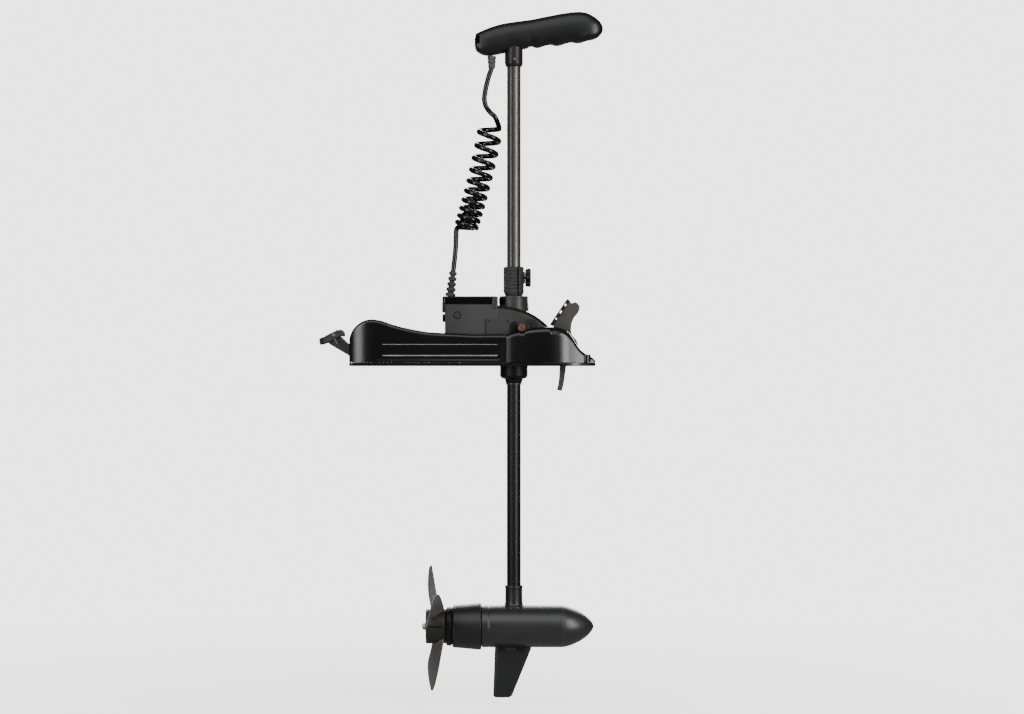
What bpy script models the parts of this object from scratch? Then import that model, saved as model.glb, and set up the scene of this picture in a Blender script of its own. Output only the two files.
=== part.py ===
"""Bow-mount trolling motor: deck mount, electric steering gearbox, shaft, head, coiled cord and lower unit.

Lengths are written in millimetres and turned into metres by MM. The origin is the centre of the deck
plate's underside, +X is the bow, +Y the port side and +Z up. Left is port.
"""

import math

import bmesh
import bpy
from mathutils import Matrix, Vector

MM = 0.001
GAP = 0.3

# Deck mount
DECK_REAR, DECK_TIP, DECK_THICK = -158, 384, 8
RAIL_INNER, RAIL_OUTER, RAIL_END = 54, 70, 186
DECK_TOP = DECK_THICK + GAP
SLOT_HALF, WINDOW_HALF, TIP_HALF = 35, 46, 28
# Each deck screw's x, distance from the middle, radius, counterbore radius and counterbore floor
DECK_SCREWS = {"rear": (-110, 62, 4, 7.5, 20), "front": (364, 47, 3.5, 7, 19.5)}

# Tilt axis, latch and pedal
TILT_X, TILT_Z, TILT_PIN_R = 72, 38, 5
LATCH_X, LATCH_Z, LATCH_R = 221, 84, 8
HOOK_X, HOOK_Z, HOOK_OPEN_DEG = 244, 16, 8.3
PEDAL_X, PEDAL_Z, PEDAL_PIN_R = -138, 18, 4
ROD_Z = 28
STUD_R, EYE_R = 1.7, 3
GUIDE_X, GUIDE_Z, GUIDE_PIN_R = 335, 47, 5
GUIDE_IN, GUIDE_OUT = 24, 36

# Gearbox
BOX_REAR, BOX_FRONT, BOX_HALF, BOX_TOP = 52, 170, 47, 136.7
CASE_HALF, CASE_FRONT, CASE_TOP, CASE_BOTTOM = 39.7, 242, 112, 14
LID_TOP = 154
MODULE, GEAR_TEETH, PINION_TEETH = 2, 30, 12
GEAR_LOW, GEAR_HIGH = 48, 62

# Shaft and steering sleeve
SHAFT_X, SHAFT_R, SHAFT_BORE = 204, 15.5, 12.5
SHAFT_TOP, SHAFT_BOTTOM = 719, -530
SLEEVE_R, SLEEVE_BORE = 20, 16
PINION_X = SHAFT_X - MODULE * (GEAR_TEETH + PINION_TEETH) / 2
BEARING_R = 25

# Lower unit
MOTOR_Z, MOTOR_R, MOTOR_BORE = -578, 46.4, 42.5
TUBE_REAR, TUBE_FRONT, NOSE_TIP = 133.3, 311, 381
ROTOR_R = 5
HUB_R, HUB_REAR, HUB_FRONT = 38, 9, 66
BLADE_ROOT_R, BLADE_TIP_R = 30, 160
BLADE_ROOTS = (92, 212, 332)
BLADE_SWEEP = 54
# A blade's middle, fore and aft, and half its fore-and-aft width at each of these radii
BLADE_STATIONS = (
    (30, 37, 14), (42, 35.5, 14), (83, 27.3, 14.5), (110, 23, 12.2), (143, 18.9, 6), (160, 18, 1.2),
)
BLADE_PITCH = 34.6

# Coiled cord
CORD_R = 5.5
COIL_LOW, COIL_HIGH = (95.5, 28, 302), (155.5, 14, 546)
COIL_LOW_R, COIL_HIGH_R = 25.5, 27

RAIL_TOP = (
    (-158, 58, 60), (-153, 73, 65), (-147, 84, 68), (-136, 94, 70), (-122, 101, 70), (-107, 103, 70),
    (-89, 100, 70), (-67, 93, 70), (-38, 85, 70), (-9, 79, 70), (18, 74, 70), (40, 73, 70),
    (110, 70, 70), (186, 70, 70),
)
CASTING = (
    (187, 69, 56, 72), (200, 73, 56, 75), (217, 77, 56, 77), (240, 83, 56, 79), (262, 85.5, 56, 79),
    (283, 85.5, 56, 78), (287, 85.5, 44, 78), (308, 85.5, 44, 76), (322, 78, 44, 73), (331, 67, 44, 70),
    (339, 51, 44, 66), (351, 35, 42, 60), (368, 24, 32, 52), (379, 18, 30, 47), (384, 11, 29, 44),
)
HEAD = (
    (117, 706, 732, 14), (124, 696, 740, 20), (134, 690, 745, 23), (150, 689, 751, 25), (176, 693, 759, 26),
    (203, 700, 763, 26), (230, 702, 767, 25), (245, 708, 770, 24), (259, 706, 773, 24), (283, 712, 777, 24),
    (308, 710.5, 781, 24.5), (330, 717, 785, 25), (356, 717, 786, 25), (374, 723, 780, 23),
    (388, 727, 771, 19), (398, 736, 760, 12), (402, 744, 752, 5),
)
GUIDE = (
    (290, 93), (325, 145), (329, 141), (331, 138), (334, 140), (340, 141), (347, 136), (350, 129),
    (347, 118), (338, 108), (333, 98), (330, 84), (331, 67), (343, 56), (346, 46), (341, 37), (328, 34),
    (321, 20), (319, 0), (317, -20), (313, -42), (310, -56), (300, -54), (303, -40), (305, -20), (306, 0),
    (307, 20), (303, 50), (297, 75),
)
CHEEK = (
    (170.5, 133), (184, 132), (200, 130), (217, 125), (235, 120), (251, 111), (264, 102), (273, 93),
    (280, 88), (278, 70), (262, 40), (245, 16), (170.5, 16),
)
LOWER_TAIL = ((69.2, 30, 215.4), (72, 30, 240), (74, 30, 262), (75, 30, 284), (75.8, 29.5, 303))
UPPER_TAIL = (
    (153.8, 0, 658.7), (150, 1, 648), (146, 3, 635), (141, 6, 613), (138.5, 9, 594), (142, 12, 578),
    (152, 13, 564), (163, 13, 553),
)

for old in list(bpy.data.objects):
    bpy.data.objects.remove(old, do_unlink=True)


def new_collection(name):
    made = bpy.data.collections.new(name)
    bpy.context.scene.collection.children.link(made)
    return made


parts = new_collection("trolling_motor")
helpers = new_collection("cutters")


def paint(name, color, roughness, metallic=0.0):
    made = bpy.data.materials.new(name)
    made.use_nodes = True
    shader = made.node_tree.nodes["Principled BSDF"]
    shader.inputs["Base Color"].default_value = (*color, 1)
    shader.inputs["Roughness"].default_value = roughness
    shader.inputs["Metallic"].default_value = metallic
    return made


GLOSS_BLACK = paint("gloss_black", (0.012, 0.012, 0.013), 0.18)
MATTE_GREY = paint("matte_grey", (0.045, 0.045, 0.047), 0.6)
HEAD_BLACK = paint("head_black", (0.02, 0.02, 0.023), 0.42)
SATIN_STEEL = paint("satin_steel", (0.14, 0.125, 0.125), 0.35, 0.8)
MOTOR_PAINT = paint("motor_paint", (0.04, 0.04, 0.042), 0.5)
PROP_GREY = paint("prop_grey", (0.09, 0.085, 0.08), 0.5)
RUBBER = paint("rubber", (0.015, 0.015, 0.015), 0.75)
CORD_BLACK = paint("cord_black", (0.01, 0.01, 0.01), 0.25)
STEEL = paint("steel", (0.5, 0.5, 0.5), 0.3, 1.0)
COPPER = paint("copper", (0.6, 0.38, 0.3), 0.35, 1.0)
BRASS = paint("brass", (0.6, 0.45, 0.2), 0.3, 1.0)
BOARD_GREEN = paint("board_green", (0.02, 0.15, 0.06), 0.5)


def joint(name, parent, x, y, z):
    """An empty on a joint's axis, which the moving pieces hang from."""
    made = bpy.data.objects.new(name, None)
    parts.objects.link(made)
    made.empty_display_size = 20 * MM
    made.location = Vector((x, y, z)) * MM - (parent.matrix_world.translation if parent else Vector())
    made.parent = parent
    bpy.context.view_layer.update()
    return made


base = joint("base_frame", None, 0, 0, 0)
gearbox = joint("tilt_axis", base, TILT_X, 0, TILT_Z)
pinion_axis = joint("pinion_axis", gearbox, PINION_X, 0, GEAR_LOW)
steering = joint("steering_axis", gearbox, SHAFT_X, 0, 0)
shaft = joint("shaft_frame", steering, SHAFT_X, 0, 0)
rotor = joint("rotor_axis", shaft, SHAFT_X, 0, MOTOR_Z)
clamp = joint("depth_collar_frame", shaft, SHAFT_X, 0, 188)
knob_axis = joint("knob_axis", clamp, 229, 0, 196)
pedal = joint("pedal_axis", base, PEDAL_X, 0, PEDAL_Z)
rod = joint("rod_frame", base, 0, 0, ROD_Z)
hook = joint("hook_axis", base, HOOK_X, 0, HOOK_Z)
guides = {side: joint(f"guide_axis_{side}", base, GUIDE_X, 0, GUIDE_Z) for side in ("left", "right")}


def keep(obj, name, material, parent):
    """Names the object, shades it and hangs it from its joint's empty where it stands."""
    obj.name = name
    obj.data.name = name
    for group in list(obj.users_collection):
        group.objects.unlink(obj)
    obj.data.materials.clear()
    if parent is None:
        helpers.objects.link(obj)
        obj.hide_render = True
        obj.display_type = "WIRE"
        return obj
    parts.objects.link(obj)
    obj.data.materials.append(material)
    obj.data.shade_smooth()
    obj.data.set_sharp_from_angle(angle=math.radians(35))
    bpy.context.view_layer.update()
    obj.parent = parent
    obj.matrix_parent_inverse = parent.matrix_world.inverted()
    return obj


def from_bmesh(bm):
    mesh = bpy.data.meshes.new("mesh")
    bm.to_mesh(mesh)
    bm.free()
    made = bpy.data.objects.new("mesh", mesh)
    bpy.context.scene.collection.objects.link(made)
    return made


def as_mesh(curve):
    """The curve object as a welded mesh object, so that it can be cut or joined."""
    bpy.context.view_layer.update()
    graph = bpy.context.evaluated_depsgraph_get()
    mesh = bpy.data.meshes.new_from_object(curve.evaluated_get(graph))
    bm = bmesh.new()
    bm.from_mesh(mesh)
    bmesh.ops.remove_doubles(bm, verts=bm.verts, dist=1e-6)
    bm.to_mesh(mesh)
    bm.free()
    made = bpy.data.objects.new("mesh", mesh)
    made.matrix_world = curve.matrix_world.copy()
    bpy.context.scene.collection.objects.link(made)
    bpy.data.objects.remove(curve, do_unlink=True)
    return made


def block(name, low, high, material=None, parent=None, bevel=0):
    bm = bmesh.new()
    bmesh.ops.create_cube(bm, size=1)
    low, high = Vector(low) * MM, Vector(high) * MM
    made = from_bmesh(bm)
    made.data.transform(Matrix.Translation((low + high) / 2) @ Matrix.Diagonal((*(high - low), 1)))
    if bevel:
        rounded = made.modifiers.new("rounded", "BEVEL")
        rounded.width = bevel * MM
        rounded.segments = 2
    return keep(made, name, material, parent)


AXES = {
    "x": Matrix.Rotation(math.pi / 2, 4, "Y"),
    "y": Matrix.Rotation(-math.pi / 2, 4, "X"),
    "z": Matrix.Identity(4),
}


def turned(name, profile, centre, axis, material=None, parent=None, steps=24, ring=False):
    """A profile of (radius, height) points turned about the axis through centre."""
    points = list(profile)
    nexts = points[1:] + points[:1]
    if sum(a[0] * b[1] - b[0] * a[1] for a, b in zip(points, nexts)) > 0:
        points.reverse()
    mesh = bpy.data.meshes.new("profile")
    edges = [(i, i + 1) for i in range(len(points) - 1)]
    if ring:
        edges.append((len(points) - 1, 0))
    mesh.from_pydata([(r * MM, 0, z * MM) for r, z in points], edges, [])
    made = bpy.data.objects.new("turned", mesh)
    bpy.context.scene.collection.objects.link(made)
    made.matrix_world = Matrix.Translation(Vector(centre) * MM) @ AXES[axis]
    screw = made.modifiers.new("turn", "SCREW")
    screw.steps = steps
    screw.render_steps = steps
    screw.use_merge_vertices = True
    screw.merge_threshold = 1e-6
    screw.use_smooth_shade = False
    return keep(made, name, material, parent)


def rod_between(name, radius, low, high, centre, axis, material=None, parent=None, steps=24):
    """A round bar along the axis through centre. One that is kept has a small chamfer; a cutter has none."""
    if parent is None:
        profile = [(0, high), (radius, high), (radius, low), (0, low)]
        return turned(name, profile, centre, axis, steps=steps)
    edge = min(0.8, radius / 4)
    profile = [(0, high), (radius - edge, high), (radius, high - edge)]
    profile += [(radius, low + edge), (radius - edge, low), (0, low)]
    return turned(name, profile, centre, axis, material, parent, steps)


def washer(name, inner, outer, low, high, centre, axis, material, parent, steps=24):
    profile = [(outer, high), (outer, low), (inner, low), (inner, high)]
    return turned(name, profile, centre, axis, material, parent, steps, ring=True)


PLANES = {
    "z": Matrix.Identity(4),
    "y": Matrix.Rotation(math.pi / 2, 4, "X"),
    "x": Matrix(((0, 0, 1, 0), (1, 0, 0, 0), (0, 1, 0, 0), (0, 0, 0, 1))),
}


def prism(name, loops, low, high, axis, material=None, parent=None):
    """Flat outlines extruded along the axis: (x, z) outlines along y, (x, y) along z, (y, z) along x."""
    data = bpy.data.curves.new(name, "CURVE")
    data.dimensions = "2D"
    data.fill_mode = "BOTH"
    data.extrude = (high - low) / 2 * MM
    for loop in loops:
        line = data.splines.new("POLY")
        line.points.add(len(loop) - 1)
        for point, (u, v) in zip(line.points, loop):
            point.co = (u * MM, v * MM, 0, 1)
        line.use_cyclic_u = True
    curve = bpy.data.objects.new(name, data)
    bpy.context.scene.collection.objects.link(curve)
    middle = (low + high) / 2 * MM
    offset = {"x": (middle, 0, 0), "y": (0, middle, 0), "z": (0, 0, middle)}[axis]
    curve.matrix_world = Matrix.Translation(offset) @ PLANES[axis]
    return keep(as_mesh(curve), name, material, parent)


def circle(x, y, radius, count=24):
    turns = [2 * math.pi * i / count for i in range(count)]
    return [(x + radius * math.cos(a), y + radius * math.sin(a)) for a in turns]


def loft(name, rings, material=None, parent=None):
    """A skin over rings of points that share one count, with flat ends."""
    bm = bmesh.new()
    rows = [[bm.verts.new(Vector(p) * MM) for p in ring] for ring in rings]
    for a, b in zip(rows, rows[1:]):
        for i in range(len(a)):
            j = (i + 1) % len(a)
            bm.faces.new((a[i], a[j], b[j], b[i]))
    bm.faces.new(reversed(rows[0]))
    bm.faces.new(rows[-1])
    bmesh.ops.recalc_face_normals(bm, faces=bm.faces)
    return keep(from_bmesh(bm), name, material, parent)


def smooth_route(points, each=3):
    """Points read from a smooth curve through the route's own points."""
    knots = [Vector(p) for p in points]
    ends = [2 * knots[0] - knots[1], *knots, 2 * knots[-1] - knots[-2]]
    found = []
    for a, b, c, d in zip(ends, ends[1:], ends[2:], ends[3:]):
        for i in range(each):
            t = i / each
            bend = (2 * a - 5 * b + 4 * c - d) * t**2 + (3 * b - a - 3 * c + d) * t**3
            found.append((2 * b + (c - a) * t + bend) / 2)
    return [*found, knots[-1]]


def cord(name, points, radius, parent):
    data = bpy.data.curves.new(name, "CURVE")
    data.dimensions = "3D"
    data.bevel_depth = radius * MM
    data.bevel_resolution = 2
    data.use_fill_caps = True
    line = data.splines.new("POLY")
    line.points.add(len(points) - 1)
    for point, place in zip(line.points, points):
        point.co = (*(place * MM), 1)
    curve = bpy.data.objects.new(name, data)
    bpy.context.scene.collection.objects.link(curve)
    return keep(as_mesh(curve), name, CORD_BLACK, parent)


def combine(obj, operation, *others):
    for other in others:
        step = obj.modifiers.new(other.name, "BOOLEAN")
        step.operation = operation
        step.object = other
    return obj


def cut(obj, *others):
    return combine(obj, "DIFFERENCE", *others)


def join(obj, *others):
    return combine(obj, "UNION", *others)


def side(sign):
    return "left" if sign > 0 else "right"


def span(sign, inner, outer):
    """The low and high Y of a piece that stands between two distances from the middle, on one side."""
    return (inner, outer) if sign > 0 else (-outer, -inner)


def wall_section(x, top, inner, outer, sign, chamfer=6):
    """A rail's or casting's section: flat foot and inner face, with its outer top corner rounded off."""
    chamfer = min(chamfer, (top - DECK_TOP) / 2)
    section = [
        (inner, DECK_TOP), (outer, DECK_TOP), (outer, top - chamfer),
        (outer - 0.3 * chamfer, top - 0.3 * chamfer), (outer - chamfer, top), (inner, top),
    ]
    return [(x, sign * y, z) for y, z in section]


def deck_screw(place, sign, plate, wall):
    """A pan-head screw sunk in a wall and through the plate, with its hole and counterbore cut."""
    x, y, radius, sink_r, floor = DECK_SCREWS[place]
    centre = (x, sign * y, 0)
    hole = rod_between(f"{place}_hole_{side(sign)}", radius + GAP, -5, 120, centre, "z", steps=12)
    sink = rod_between(f"{place}_sink_{side(sign)}", sink_r, floor, 120, centre, "z", steps=16)
    cut(plate, hole)
    cut(wall, hole, sink)
    seat = floor + GAP
    profile = [(0, seat + 4), (5, seat + 4), (6.5, seat + 2), (6.5, seat), (radius, seat)]
    profile += [(radius, 0.5), (0, 0.5)]
    turned(f"deck_screw_{place}_{side(sign)}", profile, centre, "z", STEEL, base, 12)


def deck_mount():
    half = [
        (DECK_REAR, 50), (DECK_REAR + 6, 62), (DECK_REAR + 18, 69), (RAIL_END, RAIL_OUTER), (235, 77),
        (290, 78), (335, 70), (365, 56), (DECK_TIP, 44), (DECK_TIP, TIP_HALF), (350, TIP_HALF),
        (344, WINDOW_HALF), (282, WINDOW_HALF), (276, SLOT_HALF), (171, SLOT_HALF),
    ]
    outline = half + [(x, -y) for x, y in reversed(half)]
    plate = prism("deck_plate", [outline], 0, DECK_THICK, "z", GLOSS_BLACK, base)
    for sign in (1, -1):
        inner, outer = RAIL_INNER, RAIL_OUTER
        rail = loft(
            f"side_rail_{side(sign)}",
            [wall_section(x, top, inner, out, sign) for x, top, out in RAIL_TOP],
            GLOSS_BLACK,
            base,
        )
        casting = loft(
            f"front_casting_{side(sign)}",
            [wall_section(x, top, low, high, sign) for x, top, low, high in CASTING],
            GLOSS_BLACK,
            base,
        )
        low, high = span(sign, inner - 2, outer - 8)
        bore = f"tilt_bore_{side(sign)}"
        cut(rail, rod_between(bore, TILT_PIN_R + GAP, low, high, (TILT_X, 0, TILT_Z), "y"))
        low, high = span(sign, 40, 90)
        saddle = f"saddle_{side(sign)}"
        cut(casting, rod_between(saddle, LATCH_R + GAP, low, high, (LATCH_X, 0, LATCH_Z), "y"))
        low, high = span(sign, 22.5, 50)
        stub = f"guide_stub_{side(sign)}"
        join(casting, rod_between(stub, GUIDE_PIN_R, low, high, (GUIDE_X, 0, GUIDE_Z), "y"))
        for place, wall in (("rear", rail), ("front", casting)):
            deck_screw(place, sign, plate, wall)
    rod_between("tilt_pin", TILT_PIN_R, -61.7, 61.7, (TILT_X, 0, TILT_Z), "y", STEEL, base, 16)
    block("stow_bumper", (-5, -12, DECK_TOP), (20, 12, 17.4), RUBBER, base, 2)


def pedal_set():
    ears = [
        (-46, DECK_TOP), (-10, DECK_TOP), (-10, 25), (-14, 25),
        (-14, 10.8), (-42, 10.8), (-42, 25), (-46, 25),
    ]
    bracket = prism("pedal_bracket", [ears], PEDAL_X - 9, PEDAL_X + 9, "x", GLOSS_BLACK, base)
    centre = (PEDAL_X, 0, PEDAL_Z)
    cut(bracket, rod_between("pedal_bore", PEDAL_PIN_R + GAP, -50, -5, centre, "y", steps=16))
    rod_between("pedal_pin", PEDAL_PIN_R, -47, -9, centre, "y", STEEL, base, 16)
    outline = [
        (-138, 11.5), (-133.4, 13.4), (-131.5, 18), (-132, 24), (-133.5, 29.5), (-138, 32.3), (-143, 31.5),
        (-150, 38), (-177, 65.1), (-184, 62.1), (-204.5, 51.4), (-202, 48), (-149, 17), (-142.6, 13.4),
    ]
    arm = prism("pedal_arm", [outline], -41.5, -14.5, "y", MATTE_GREY, pedal)
    cut(arm, rod_between("pedal_arm_bore", PEDAL_PIN_R + GAP, -50, -5, centre, "y", steps=16))
    join(arm, rod_between("pedal_stud", STUD_R, -53.4, -35, (PEDAL_X, 0, ROD_Z), "y", steps=12))
    pad = [
        (-222, 47), (-207, 50.5), (-184, 62.5), (-176, 66), (-172.5, 64.5), (-168.5, 67.5), (-170.5, 76),
        (-175.5, 80.5), (-184.5, 79.5), (-224.5, 59.5),
    ]
    prism("pedal_pad", [pad], -50, -6, "y", RUBBER, pedal)


def latch_set():
    rear_eye, front_eye = (circle(x, ROD_Z, 5.5, 20) for x in (PEDAL_X, HOOK_X))
    link = rear_eye[2:19] + front_eye[12:] + front_eye[:9]
    holes = [circle(PEDAL_X, ROD_Z, EYE_R, 12), circle(HOOK_X, ROD_Z, EYE_R, 12)]
    prism("pull_rod", [link, *holes], -53.6, -50.6, "y", STEEL, rod)
    shape = [
        (-6.5, 0), (-4.6, -4.6), (0, -6.5), (4.6, -4.6), (6.5, 0), (6, 30), (-1, 58), (-1, 80), (-6, 86),
        (-20, 86), (-24, 82), (-24, 77), (-12.5, 77), (-12, 58), (-6, 28),
    ]
    turn = math.radians(HOOK_OPEN_DEG)
    open_shape = [
        (HOOK_X + x * math.cos(turn) + z * math.sin(turn), HOOK_Z - x * math.sin(turn) + z * math.cos(turn))
        for x, z in shape
    ]
    bore = circle(HOOK_X, HOOK_Z, 3.8, 12)
    plate = prism("latch_hook", [open_shape, bore], -50.3, -47.6, "y", MATTE_GREY, hook)
    join(plate, rod_between("hook_stud", STUD_R, -53.4, -48.5, (HOOK_X, 0, ROD_Z), "y", steps=12))
    stub = rod_between("hook_stub", 3.5, -62, -47.4, (HOOK_X, 0, HOOK_Z), "y", steps=12)
    join(bpy.data.objects["front_casting_right"], stub)


def ribbed_edge(foot, top, ribs=4, height=4.5):
    """The points of a straight edge that carries square ribs, from its foot to its top."""
    foot, top = Vector(foot), Vector(top)
    along = top - foot
    out = Vector((-along.y, along.x)).normalized() * height
    parts_of_edge = 2 * ribs + 1
    points = []
    for i in range(parts_of_edge):
        rise = out if i % 2 else out * 0
        points += [foot + along * (step / parts_of_edge) + rise for step in (i, i + 1)]
    return [tuple(p) for p in points]


def stow_guides():
    outline = ribbed_edge(GUIDE[0], GUIDE[1]) + list(GUIDE[2:])
    hole = circle(GUIDE_X, GUIDE_Z, GUIDE_PIN_R + GAP, 16)
    for sign in (1, -1):
        low, high = span(sign, GUIDE_IN, GUIDE_OUT)
        prism(f"stow_guide_{side(sign)}", [outline, hole], low, high, "y", MATTE_GREY, guides[side(sign)])


def involute_outline(teeth, x, y, turn):
    """A spur gear's outline, from its involute flanks, with a little less width than a full tooth."""
    pitch_r = MODULE * teeth / 2
    base_r = pitch_r * math.cos(math.radians(20))
    root_r, tip_r = pitch_r - 1.25 * MODULE, pitch_r + 0.85 * MODULE
    half = math.pi / (2 * teeth) - 0.09 * MODULE / pitch_r

    def flank(radius):
        radius = max(radius, base_r)
        roll = math.acos(base_r / radius)
        pitch_roll = math.acos(base_r / pitch_r)
        return half + (math.tan(pitch_roll) - pitch_roll) - (math.tan(roll) - roll)

    outline = []
    for i in range(teeth):
        middle = turn + 2 * math.pi * i / teeth
        steps = [(root_r, -1), (pitch_r, -1), (tip_r, -1), (tip_r, 1), (pitch_r, 1), (root_r, 1)]
        for radius, sign in steps:
            angle = middle + sign * flank(radius)
            outline.append((x + radius * math.cos(angle), y + radius * math.sin(angle)))
    return outline


def gearbox_set():
    box = prism(
        "gearbox_housing",
        [[(BOX_REAR, 26), (60, 18), (BOX_FRONT, 18), (BOX_FRONT, BOX_TOP), (BOX_REAR, BOX_TOP)]],
        -BOX_HALF,
        BOX_HALF,
        "y",
        MATTE_GREY,
        gearbox,
    )
    case = block("gear_case", (BOX_FRONT - 6, -CASE_HALF, CASE_BOTTOM), (CASE_FRONT, CASE_HALF, CASE_TOP))
    shaft_centre = (SHAFT_X, 0, 0)
    join(box, case)
    cut(
        box,
        block("box_cavity", (BOX_REAR + 4, -43, 24), (BOX_FRONT - 4, 43, 150)),
        rod_between("sleeve_bore", BEARING_R + GAP, 0, 130, shaft_centre, "z"),
        rod_between("gear_pocket", 33, GEAR_LOW - 2, GEAR_HIGH + 2, shaft_centre, "z"),
        rod_between("motor_pocket", 16.6, 44, 150, (PINION_X, 0, 0), "z"),
        rod_between("tilt_bush_bore", 8 + GAP, -60, 60, (TILT_X, 0, TILT_Z), "y"),
        rod_between("inlet_bore", 7 + GAP, BOX_REAR - 10, BOX_REAR + 10, (0, -25, 106), "x"),
    )
    lid = [(46, 118), (51.7, 118), (51.7, 137), (169, 137)]
    lid += [(169, 149), (164, LID_TOP), (50, LID_TOP), (46, 150)]
    prism("gearbox_lid", [lid], -49, 49, "y", GLOSS_BLACK, gearbox)
    for sign in (1, -1):
        low, high = span(sign, CASE_HALF + GAP, BOX_HALF)
        hole = circle(LATCH_X, LATCH_Z, LATCH_R + GAP, 16)
        prism(f"cheek_{side(sign)}", [CHEEK, hole], low, high, "y", MATTE_GREY, gearbox)
        low, high = span(sign, CASE_HALF + GAP, 72)
        centre = (LATCH_X, 0, LATCH_Z)
        rod_between(f"latch_pin_{side(sign)}", LATCH_R, low, high, centre, "y", COPPER, gearbox, 16)
    washer("tilt_bush", TILT_PIN_R + GAP, 8, -47.4, 47.4, (TILT_X, 0, TILT_Z), "y", BRASS, gearbox, 16)
    rod_between("steering_motor", 16, 70, 113, (PINION_X, 0, 0), "z", STEEL, gearbox)
    block("control_board", (62, -38, 122), (140, 38, 123.6), BOARD_GREEN, gearbox)
    inlet = [(9, BOX_REAR - GAP), (9, BOX_REAR - 5.5), (3.5, BOX_REAR - 5.5), (3.5, BOX_REAR + 9)]
    inlet += [(7, BOX_REAR + 9), (7, BOX_REAR - GAP)]
    turned("power_inlet", inlet, (0, -25, 106), "x", RUBBER, gearbox, 16, ring=True)
    for name, low in (("lower", CASE_BOTTOM), ("upper", CASE_TOP - 12)):
        name = f"sleeve_bearing_{name}"
        washer(name, SLEEVE_R + GAP, BEARING_R, low, low + 12, shaft_centre, "z", STEEL, gearbox)
    pinion = prism(
        "steering_pinion",
        [involute_outline(PINION_TEETH, PINION_X, 0, math.pi / PINION_TEETH)],
        GEAR_LOW,
        GEAR_HIGH,
        "z",
        BRASS,
        pinion_axis,
    )
    join(pinion, rod_between("pinion_shaft", 4, GEAR_LOW + 2, 69.6, (PINION_X, 0, 0), "z", steps=12))
    ribs = [(0, 59)]
    for i in range(5):
        radius = 7.2 + 0.6 * i
        z = 59 - 12 * i
        ribs += [(radius, z), (radius, z - 7), (radius - 2, z - 7), (radius - 2, z - 12 if i < 4 else 0.3)]
    ribs.append((0, 0.3))
    gland = turned("cord_gland", ribs, (62, 30, LID_TOP + 1.2), "z", RUBBER, gearbox, 12)
    gland.rotation_euler = (0, math.atan2(7, 59), 0)


def steering_set():
    centre = (SHAFT_X, 0, 0)
    washer("steering_sleeve", SLEEVE_BORE, SLEEVE_R, -27, 121.7, centre, "z", STEEL, steering, 32)
    collar = [(33.3, 122), (33.3, 127), (31.5, 153), (30, 155), (SLEEVE_BORE, 155), (SLEEVE_BORE, 122)]
    turned("steering_collar", collar, centre, "z", MATTE_GREY, steering, 32, ring=True)
    lower = [(31, 13.5), (31, -22), (27, -27), (20, -28), (17.5, -38), (SLEEVE_BORE, -38)]
    lower += [(SLEEVE_BORE, -27.3), (SLEEVE_R + GAP, -27.3), (SLEEVE_R + GAP, 13.5)]
    turned("lower_collar", lower, centre, "z", MATTE_GREY, steering, 32, ring=True)
    outline = involute_outline(GEAR_TEETH, SHAFT_X, 0, 0)
    bore = circle(SHAFT_X, 0, SLEEVE_R + GAP)
    prism("steering_gear", [outline, bore], GEAR_LOW, GEAR_HIGH, "z", STEEL, steering)


def cord_set():
    middle = (Vector(COIL_LOW) + Vector(COIL_HIGH)) / 2
    along = (Vector(COIL_HIGH) - Vector(COIL_LOW)).normalized()
    middle_r = (COIL_LOW_R + COIL_HIGH_R) / 2
    halves = {
        "cord_coil_lower": (Vector(COIL_LOW), middle - along * GAP / 2, COIL_LOW_R, middle_r, gearbox),
        "cord_coil_upper": (middle + along * GAP / 2, Vector(COIL_HIGH), middle_r, COIL_HIGH_R, steering),
    }
    for name, (low, high, low_r, high_r, parent) in halves.items():
        length = (high - low).length
        bm = bmesh.new()
        bmesh.ops.create_cone(
            bm, cap_ends=True, segments=16, radius1=low_r * MM, radius2=high_r * MM, depth=length * MM
        )
        made = from_bmesh(bm)
        turn = along.to_track_quat("Z", "Y").to_matrix().to_4x4()
        made.matrix_world = Matrix.Translation((low + high) / 2 * MM) @ turn
        keep(made, name, CORD_BLACK, parent)
    cord("cord_tail_lower", smooth_route(LOWER_TAIL), CORD_R, gearbox)
    cord("cord_tail_upper", smooth_route(UPPER_TAIL, 2), CORD_R, shaft)


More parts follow.
